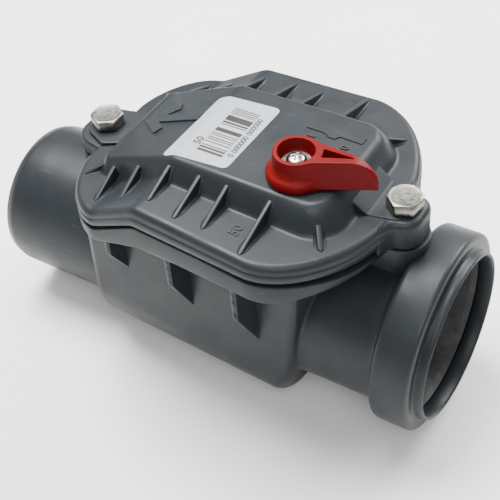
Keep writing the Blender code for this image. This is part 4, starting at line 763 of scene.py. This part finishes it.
def flange_rings():
    """Rings round the band's section: in along its underside, up the mouth, out along its upper face and down
    its outer side, with a quarter circle at each outer edge."""
    top_round, foot_round = 0.5, 1.4
    rings = []
    for turn in np.linspace(0.0, math.pi / 2, 5):
        s, a = flange_outline(top_round * (1.0 - math.sin(turn)))
        rings.append((s, a, seat_level(s) - top_round * (1.0 - math.cos(turn))))
    for turn in np.linspace(0.0, math.pi / 2, 8):
        s, a = flange_outline(foot_round * (1.0 - math.cos(turn)))
        rings.append((s, a, flange_foot(s) + foot_round * (1.0 - math.sin(turn))))
    edge, mouth = flange_outline(foot_round), hole_outline(flange_outline(foot_round))
    for share in (0.3, 0.6, 0.9, 1.0):
        s, a = (e + (m - e) * share for e, m in zip(edge, mouth))
        rings.append((s, a, flange_foot(s)))
    for share in (1.0, 0.9, 0.6, 0.3):
        s, a = (e + (m - e) * share for e, m in zip(flange_outline(top_round), mouth))
        rings.append((s, a, seat_level(s)))
    return rings


shape("housing_flange", *from_rings(flange_rings(), closed_rows=True), GREY, stands_for=("housing",))


# Webs under the housing's flange and the two bolt bosses, moulded with it. A web drops straight down from the
# flange's edge and then slants back to the chamber's side.
WEBS = ((57.3, 26.2, 14.3), (80.9, 25.6, 8.6), (104.2, 24.2, 5.1))
WEB_HALF, WEB_SET_IN, WEB_ROOT = 0.9, 0.8, 29.4
OUTLET_BOSS = ((OUTLET_BOLT - EAR_REACH, -8.2), (44.0, -12.4), (44.0, 12.4), (OUTLET_BOLT - EAR_REACH, 8.2))
INLET_BOSS = ((INLET_BOLT + 7.8, -8.0), (INLET_BOLT + 7.8, 8.0), (128.0, 8.0), (128.0, -8.0))


def web_crest(inner, outer, outer_foot, inner_foot):
    """Lower edge of a web: straight from its foot at the outer end to its foot at the chamber's side."""
    def level(stations, across):
        share = (np.abs(across) - inner) / (outer - inner)
        return inner_foot + (outer_foot - inner_foot) * share
    return level


webs = []
for side in (-1.0, 1.0):
    for station, outer_foot, inner_foot in WEBS:
        outer = flange_half_width(station) - WEB_SET_IN
        webs.append(fin((station, side * WEB_ROOT), (station, side * outer),
                        web_crest(WEB_ROOT, outer, outer_foot, inner_foot), flange_foot, half=WEB_HALF, draft=0.01,
                        foot=0.4, way=-1.0, end=0.25, crown_height=0.25))
webs.append(slab(*round_polygon(OUTLET_BOSS, [7.4, 1.0, 1.0, 7.4]), flat(28.2), flat(34.9), edge=0.4, foot_edge=0.8))
webs.append(slab(*round_polygon(INLET_BOSS, [7.4, 7.4, 1.0, 1.0]), flat(30.4), flat(39.6), edge=0.4, foot_edge=0.1))
shape("housing_webs", *joined(webs), GREY, stands_for=("housing",))


# Relief on the cover, raised with the moulding: an arrow for the flow on the ramp, a line with a notch that
# stands for the valve's two states, plain figures for them, and the pipe's size on the rim.
ARROW_HEIGHT, SIGN_HEIGHT = 0.55, 0.36
ARROW_AXIS, ARROW_HALF, ARROW_ENDS = 1.7, 1.9, (50.0, 69.4)
ARROW_BARB = ((46.8, 0.0), (56.8, -8.2), (58.2, -5.0), (52.2, 0.0))
SIGN_LINE = ((101.4, 10.1), (107.4, 9.9), (108.9, 8.8), (110.7, 8.7), (112.0, 10.3), (118.6, 10.0), (118.8, 12.1))
SIGN_HALF = 0.42


def raised(corners, height, radius=0.25, edge=0.15):
    """Slab over a plan polygon that stands height above the cover's face and reaches a little below it."""
    return slab(*round_polygon(corners, radius), lambda s, a: cover_level(s, a) - 0.3,
                lambda s, a: cover_level(s, a) + height, edge=edge, foot_edge=0.05)


(tip, tail), low, high = ARROW_ENDS, ARROW_AXIS - ARROW_HALF, ARROW_AXIS + ARROW_HALF
relief_parts = [raised([(tip, low), (tail, low), (tail, high), (tip, high)], ARROW_HEIGHT - 0.02)]
for side, height in ((1.0, ARROW_HEIGHT), (-1.0, ARROW_HEIGHT - 0.04)):
    relief_parts.append(raised([(station, ARROW_AXIS + side * across) for station, across in ARROW_BARB], height))
for count, ((s0, a0), (s1, a1)) in enumerate(zip(SIGN_LINE, SIGN_LINE[1:])):
    length = math.hypot(s1 - s0, a1 - a0)
    ahead, aside = (s1 - s0) / length * SIGN_HALF, (a1 - a0) / length * SIGN_HALF
    relief_parts.append(raised([(s0 - ahead + aside, a0 - aside - ahead), (s1 + ahead + aside, a1 + aside - ahead),
                                (s1 + ahead - aside, a1 + aside + ahead), (s0 - ahead - aside, a0 - aside + ahead)],
                               SIGN_HEIGHT - 0.02 * (count % 2), 0.2, 0.12))
shape("cover_relief", *joined(relief_parts), GREY, stands_for=("cover",))


def as_shown(made):
    """Mesh of an object as the scene shows it, with its outlines filled and its modifiers applied."""
    bpy.context.view_layer.update()
    return bpy.data.meshes.new_from_object(made.evaluated_get(bpy.context.evaluated_depsgraph_get()))


def figures(text, station, across, height, heading, rise, thickness):
    """Points and faces of plain figures that lie on the cover, read along heading and raised by rise."""
    curve = bpy.data.curves.new("figures", "FONT")
    curve.body = text
    curve.size = height * 1.4
    curve.align_x, curve.align_y = "CENTER", "CENTER"
    curve.resolution_u = 3
    curve.extrude = thickness / 2
    curve.offset = 0.03 * height
    stand = put("figures", curve)
    drawn = as_shown(stand)
    bpy.data.objects.remove(stand)
    flat_points = np.array([vertex.co[:] for vertex in drawn.vertices])
    x = station + flat_points[:, 0] * math.cos(heading) - flat_points[:, 1] * math.sin(heading)
    y = across + flat_points[:, 0] * math.sin(heading) + flat_points[:, 1] * math.cos(heading)
    level = cover_level(x, y) + rise + flat_points[:, 2]
    return placed(x, y, level), [tuple(polygon.vertices) for polygon in drawn.polygons]


def figure_piece(name, pieces, finish, stands_for):
    """One object from several sets of figures, whose faces may have any number of corners."""
    points, faces, start = [], [], 0
    for own_points, own_faces in pieces:
        points.append(own_points)
        faces += [tuple(index + start for index in face) for face in own_faces]
        start += len(own_points)
    mesh = bpy.data.meshes.new(name)
    mesh.from_pydata(np.concatenate(points).tolist(), [], faces)
    mesh.materials.append(finish)
    made = put(name, mesh)
    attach(made, "valve_body")
    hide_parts(stands_for)


READ = math.radians(92.0)
figure_piece("cover_figures", [
    figures("1", 104.4, 6.6, 2.6, READ, 0.11, 0.46), figures("0", 115.4, 6.2, 2.6, READ, 0.11, 0.46),
    figures("50", 101.2, -30.6, 3.0, READ, 0.05, 0.4)], GREY, "cover")


# Spindle boss: the collar under the dome that carries the lock's spindle, moulded with the cover, and the hole
# for the spindle through both.
SPINDLE_HOLE, BOSS_OUTER, BOSS_FOOT, BOSS_HEAD = 3.8, 6.8, 49.6, 56.0
LOCK_STATION, LOCK_ACROSS = 109.0, -10.0


def revolved(profile, station, across, columns=96):
    """Points and faces of a closed profile of (radius, level) pairs turned round an upright axis."""
    turns = np.linspace(0.0, 2 * math.pi, columns, endpoint=False)
    return from_rings([(station + radius * np.cos(turns), across + radius * np.sin(turns), level)
                       for radius, level in profile], closed_rows=True)


def bored(target, station, across, radius, low, high):
    """Cut a round hole through a piece, and keep the result as its mesh."""
    cutter = shape("cutter", *revolved([(1e-4, low), (radius, low), (radius, high), (1e-4, high)], station, across),
                   None)
    step = target.modifiers.new("hole", "BOOLEAN")
    step.operation, step.solver, step.object = "DIFFERENCE", "EXACT", cutter
    done = as_shown(target)
    target.modifiers.clear()
    target.data = done
    bpy.data.objects.remove(cutter)


bored(cover, LOCK_STATION, LOCK_ACROSS, SPINDLE_HOLE, 50.0, 60.0)
shape("spindle_boss", *revolved([
    (BOSS_OUTER + 0.6, BOSS_HEAD), (BOSS_OUTER + 0.2, 54.4), (BOSS_OUTER, 53.6), (BOSS_OUTER, BOSS_FOOT + 0.4),
    (BOSS_OUTER - 0.4, BOSS_FOOT), (SPINDLE_HOLE + 0.3, BOSS_FOOT), (SPINDLE_HOLE, BOSS_FOOT + 0.3),
    (SPINDLE_HOLE, BOSS_HEAD)], LOCK_STATION, LOCK_ACROSS), GREY, stands_for=("cover",))


# Valve seat and hinge lugs: a ring round the socket's passage whose face slants so that the flap hangs shut on
# it, and two cheeks that carry the hinge pin. Both are moulded with the housing.
HINGE_STATION, HINGE_LEVEL = 98.4, 33.0
SEAT_FACE, SEAT_TILT = 102.05, math.radians(8.0)
SEAT_OUTER, SEAT_BACK = 25.8, 115.2
LUG_INNER, LUG_WIDTH, LUG_REACH, LUG_HOLE, LUG_EDGE = 17.0, 3.0, 3.4, 1.65, 0.3
LUG_BACK = ((104.2, 108.0, 115.2, 115.2, 108.0), (22.0, 16.4, 16.4, 36.4, 36.4))


def seat_ring():
    """Ring whose front face leans by SEAT_TILT: a section of four corners, two of them broken, turned round
    the socket's axis."""
    turns = np.linspace(0.0, 2 * math.pi, 144, endpoint=False)
    rings = []
    for radius, behind in ((PASSAGE_RADIUS, 0.5), (PASSAGE_RADIUS + 0.5, 0.0), (SEAT_OUTER - 0.6, 0.0),
                           (SEAT_OUTER, 0.6), (SEAT_OUTER, None), (PASSAGE_RADIUS, None)):
        across, level = radius * np.sin(turns), SOCKET_RISE + radius * np.cos(turns)
        face = SEAT_FACE + (level - HINGE_LEVEL) * math.tan(SEAT_TILT)
        station = np.full(len(turns), SEAT_BACK) if behind is None else face + behind
        rings.append((station, across, level))
    return from_rings(rings, closed_rows=True)


def lug(side):
    """Cheek with a round nose about the hinge, drawn as a ring of outline points at four depths: two edges
    broken by LUG_EDGE and a round hole for the pin through it."""
    turns = np.linspace(math.radians(90.0), math.radians(270.0), 33)
    nose = np.stack([HINGE_STATION + LUG_REACH * np.cos(turns), HINGE_LEVEL + LUG_REACH * np.sin(turns)])
    outline = np.concatenate([nose, LUG_BACK], axis=1)
    middle = np.array([[HINGE_STATION], [HINGE_LEVEL]])
    spokes = (outline - middle) / np.hypot(*(outline - middle))
    hole, face = middle + spokes * LUG_HOLE, outline - spokes * LUG_EDGE
    rims = ((hole, 0.0), (face, 0.0), (outline, LUG_EDGE), (outline, LUG_WIDTH - LUG_EDGE), (face, LUG_WIDTH),
            (hole, LUG_WIDTH))
    return from_rings([(rim[0], side * (LUG_INNER + depth), rim[1]) for rim, depth in rims], closed_rows=True)


shape("valve_seat", *seat_ring(), GREY, stands_for=("housing",))
shape("hinge_lugs", *joined([lug(-1.0), lug(1.0)]), GREY, stands_for=("housing",))


# Lever: red polypropylene moulding that turns the lock. A round cup with a flared foot holds the screw, and a
# wedge-shaped arm with drafted sides, a blind pocket on top and a brow that falls to its tip is the handle.
LEVER_HEADING = math.radians(14.0)
LEVER_FOOT, LEVER_HEIGHT = 58.0, 8.7
CUP_PROFILE = ((0.0, 8.75), (1.9, 8.8), (2.5, 8.55), (2.9, 8.0), (3.4, 7.3), (4.0, 6.85), (4.8, 6.7), (9.0, 6.6))
CUP_BORE, CUP_WALL = 5.25, 2.2
CUP_HOLLOW = ((5.35, 0.08), (5.26, 0.3), (5.22, 2.4), (5.1, 3.6), (4.75, 4.3), (4.2, 4.65), (3.4, 4.8), (2.0, 4.8),
              (2.0, LEVER_HEIGHT - 0.02), (2.58, LEVER_HEIGHT - 0.01))
ARM_NEAR = ((8.1, -5.8, 2.0), (23.0, -2.4, 1.5))
ARM_FAR = ((5.5, 6.0, -1.3), (23.0, -1.1, 0.4))
ARM_END, BROW_START, BROW_FALL = 23.3, 14.6, 7.0
POCKET_NEAR = ((8.1, -1.55), (15.6, -0.35))
POCKET_FAR = ((6.9, 2.2), (15.6, 0.15))
POCKET_DEPTH = 3.0
ARM_EDGE, ARM_CLEARANCE = 0.35, 0.4


def beside(x, y, first, last):
    """Signed distance from the line through two plan points, positive on its left."""
    (x0, y0), (x1, y1) = first, last
    return ((x1 - x0) * (y - y0) - (y1 - y0) * (x - x0)) / np.hypot(x1 - x0, y1 - y0)


def brow_level(x):
    """Level of the arm's top: flat, then the side of an ellipse from BROW_START down to the arm's end."""
    share = np.clip((x - BROW_START) / (ARM_END + 0.1 - BROW_START), 0.0, 1.0)
    return LEVER_FOOT + LEVER_HEIGHT - BROW_FALL * (1.0 - np.sqrt(1.0 - share ** 2))


def lever_distance(x, y, level):
    """Signed distance in plan to the lever at a level: cup and wedge joined with a fillet. The wedge's sides
    lean in by their own draft from foot to top."""
    height = level - LEVER_FOOT
    cup = np.hypot(x, y) - on_line(height, CUP_PROFILE)
    share = height / LEVER_HEIGHT
    near, far = (((x0, y0 + lean0 * share), (x1, y1 + lean1 * share))
                 for (x0, y0, lean0), (x1, y1, lean1) in (ARM_NEAR, ARM_FAR))
    wedge = smooth_max(-beside(x, y, *near), beside(x, y, *far), 0.5)
    wedge = smooth_max(wedge, x - ARM_END, 0.4)
    wedge = np.maximum(wedge, 1.0 - x)
    return smooth_min(cup, wedge, 1.1)


def underside_level(x, y):
    """Level of the lever's underside: the cup's foot, and the arm's, which clears the raised signs."""
    return LEVER_FOOT + ARM_CLEARANCE * np.clip((np.hypot(x, y) - 8.9) / 0.3, 0.0, 1.0)


def lever_ring(headings, share, inset=0.0, drop=0.0):
    """Ring of the lever's side at a share of its height, found along rays from its axis."""
    def at(radius):
        x, y = radius * np.cos(headings), radius * np.sin(headings)
        foot = underside_level(x, y)
        return x, y, foot + share * (brow_level(x) - drop - foot)
    low, high = np.zeros(len(headings)), np.full(len(headings), 26.0)
    return at(halved(low, high, lambda radius: lever_distance(*at(radius)) + inset < 0.0, 24))


def lever_top(x, y):
    """Level of the lever's top face: the brow's level, sunk by POCKET_DEPTH inside the pocket's outline."""
    pocket = smooth_max(-beside(x, y, *POCKET_NEAR), beside(x, y, *POCKET_FAR), 0.35)
    pocket = smooth_max(pocket, CUP_BORE + CUP_WALL - np.hypot(x, y), 0.5)
    share = np.clip(-pocket / 0.28, 0.0, 1.0)
    return brow_level(x) - POCKET_DEPTH * share ** 2 * (3.0 - 2.0 * share)


def circle(radius, turns, level):
    """Ring about a piece's own axis, at one level or at a level for each turn."""
    return radius * np.cos(turns), radius * np.sin(turns), level + 0.0 * turns


def about_lock(heading, rings):
    """Rings drawn round a piece's own axis, turned by heading and moved to the lock's."""
    cos, sin = math.cos(heading), math.sin(heading)
    return [(LOCK_STATION + x * cos - y * sin, LOCK_ACROSS + x * sin + y * cos, level) for x, y, level in rings]


headings = np.radians(np.concatenate([np.arange(-60.0, 70.0, 0.4), np.arange(70.0, 300.0, 2.0)]))
rings = [circle(2.6, headings, LEVER_FOOT)]
foot_edge = lever_ring(headings, 0.0, 0.25)
for radius in (6.0, 8.6, 9.1, 9.5):
    x, y, _ = circle(np.minimum(radius, np.hypot(*foot_edge[:2]) * 0.985), headings, 0.0)
    rings.append((x, y, underside_level(x, y)))
rings += [foot_edge, lever_ring(headings, 0.03)]
rings += [lever_ring(headings, share) for share in np.linspace(0.06, 1.0, 30)[:-1]]
for turn in np.linspace(0.0, math.pi / 2, 6):
    rings.append(lever_ring(headings, 1.0, ARM_EDGE * (1.0 - math.cos(turn)), ARM_EDGE * (1.0 - math.sin(turn))))
edge_x, edge_y, _ = rings[-1]
lip_x, lip_y, _ = circle(CUP_BORE + 0.3, headings, 0.0)
for share in np.linspace(0.0, 1.0, 100)[1:]:
    x, y = edge_x * (1.0 - share) + lip_x * share, edge_y * (1.0 - share) + lip_y * share
    rings.append((x, y, lever_top(x, y)))
rings += [circle(radius, headings, LEVER_FOOT + LEVER_HEIGHT - below) for radius, below in CUP_HOLLOW]
shape("lever_moulding", *from_rings(about_lock(LEVER_HEADING, rings), closed_rows=True), RED, "lever",
      stands_for=("lever",))


# Lever screw: stainless steel pan head with a cross recess, cold formed, over a plain washer; it holds the
# lever on the spindle.
SCREW_RADIUS, SCREW_TOP, SCREW_FOOT = 3.05, 64.6, 62.4
SHAFT_RADIUS, SHAFT_FOOT = 1.9, 59.5
CROSS_HALF, CROSS_REACH, CROSS_DEPTH = 0.42, 1.75, 1.1
CROSS_TURN = math.radians(12.0)


def pan_level(x, y):
    """Level of the screw's head: a dome that falls by the square and the eighth power of the radius, less the
    cross, whose slots are CROSS_HALF wide at the top and deepest in the middle."""
    radius = np.hypot(x, y)
    dome = SCREW_TOP - 0.55 * (radius / SCREW_RADIUS) ** 2 - 1.15 * (radius / SCREW_RADIUS) ** 8
    u, v = np.abs(x), np.abs(y)
    arm = np.minimum(u, v) - CROSS_HALF * (1.0 - 0.25 * radius / CROSS_REACH)
    slot = smooth_max(arm, radius - CROSS_REACH, 0.2)
    depth = CROSS_DEPTH * (1.15 - 0.5 * radius / CROSS_REACH)
    return dome - depth * np.clip(-slot / 0.2, 0.0, 1.0)


turns = np.linspace(0.0, 2 * math.pi, 192, endpoint=False)
rings = []
for radius in np.concatenate([np.linspace(0.0, 2.2, 34), np.linspace(2.3, SCREW_RADIUS, 14)]):
    x, y, _ = circle(radius, turns, 0.0)
    rings.append((x, y, pan_level(x, y)))
rings += [circle(radius, turns, level) for radius, level in (
    (SCREW_RADIUS, SCREW_FOOT), (SCREW_RADIUS - 0.1, SCREW_FOOT - 0.05), (SHAFT_RADIUS, SCREW_FOOT - 0.05),
    (SHAFT_RADIUS, SHAFT_FOOT), (0.0, SHAFT_FOOT))]
shape("lever_screw_head", *from_rings(about_lock(CROSS_TURN, rings)), STAINLESS, "lever", stands_for=("lever_screw",))


# Label: a white plastic film stuck to the dome, which bends over its ridge, with rounded corners. Its print is
# generic: plain bars and plain figures.
LABEL_CORNERS = ((68.7, -18.6), (89.9, -16.9), (90.5, 13.7), (69.6, 12.2))
LABEL_THICKNESS = 0.12

# white film with its printed bars: each BAR_STEP wide line across the print block is black or white by chance
BAR_STEP = 0.42
BAR_BLOCK = ((77.6, 86.2), (-13.2, 8.4))
FILM, tree, shader, place = new_material("printed label film")
split = add_node(tree, "SeparateXYZ", links={"Vector": place}).outputs
line = add_node(tree, "Math", {"operation": "MULTIPLY"}, {0: split["Y"]})
line.inputs[1].default_value = per_mm(BAR_STEP)
line = add_node(tree, "Math", {"operation": "FLOOR"}, {0: line.outputs[0]})
chance = add_node(tree, "TexWhiteNoise", {"noise_dimensions": "1D"}, {"W": line.outputs[0]}).outputs["Value"]
ink = ranged(tree, chance, 0.50, 0.505, 0.0, 1.0)
for axis, (low, high), zero in (("X", BAR_BLOCK[0], HALF_LENGTH), ("Y", BAR_BLOCK[1], 0.0)):
    for edge, inside in ((low, 1.0), (high, 0.0)):
        at = (edge - zero) / 1000.0
        gate = ranged(tree, split[axis], at - 2e-5, at + 2e-5, 1.0 - inside, inside)
        ink = add_node(tree, "Math", {"operation": "MULTIPLY"}, {0: ink, 1: gate}).outputs[0]
worn = ranged(tree, noise(tree, place, 3.5, 5.0, 0.65), 0.62, 0.72, 0.0, 0.35)
film = mixed(tree, ranged(tree, noise(tree, place, 14.0), 0.3, 0.7, 0.0, 1.0), "#96999D", "#8E9195")
film = mixed(tree, worn, film, "#707376")
tree.links.new(mixed(tree, ink, film, "#010101"), shader.inputs["Base Color"])
tree.links.new(ranged(tree, noise(tree, place, 6.0), 0.3, 0.7, 0.38, 0.52), shader.inputs["Roughness"])
bumped(tree, shader, noise(tree, place, 7.0, 3.0), 0.15, 0.3)
# black printing ink, slightly broken
INK, tree, shader, place = new_material("printing ink")
tree.links.new(mixed(tree, ranged(tree, noise(tree, place, 0.5, 3.0), 0.55, 0.8, 0.0, 0.5), "#010101", "#1E1F20"),
               shader.inputs["Base Color"])
shader.inputs["Roughness"].default_value = 0.55

shape("label_film", *slab(*round_polygon(LABEL_CORNERS, 1.6), lambda s, a: cover_level(s, a) + 0.02,
                          lambda s, a: cover_level(s, a) + LABEL_THICKNESS, edge=0.04, foot_edge=0.01, top_rings=60),
      FILM, stands_for=("label",))
figure_piece("label_print", [
    figures("50", 76.2, -9.5, 2.4, READ, LABEL_THICKNESS + 0.02, 0.04),
    figures("0 000000 000000", 87.9, -2.6, 1.9, READ, LABEL_THICKNESS + 0.02, 0.04)], INK, "label")


# Carried-over pieces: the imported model's own bodies inside the valve, each with its real material.
for finish, names in (
        (RUBBER, ("cover_gasket", "socket_lip_seal", "flap_seal", "spindle_o_ring_upper", "spindle_o_ring_lower")),
        (BRASS, ("threaded_insert_outlet", "threaded_insert_inlet")),
        (DARK, ("flap", "flap_seal_clamp")),
        (ZINC, ("flap_seal_screw_1", "flap_seal_screw_2", "flap_seal_screw_3", "lever_screw_washer")),
        (STAINLESS, ("flap_hinge_pin", "spindle_clip")),
        (ACETAL, ("lock_cam", "lock_spindle"))):
    for name in names:
        nodes[name].data.materials.clear()
        nodes[name].data.materials.append(finish)
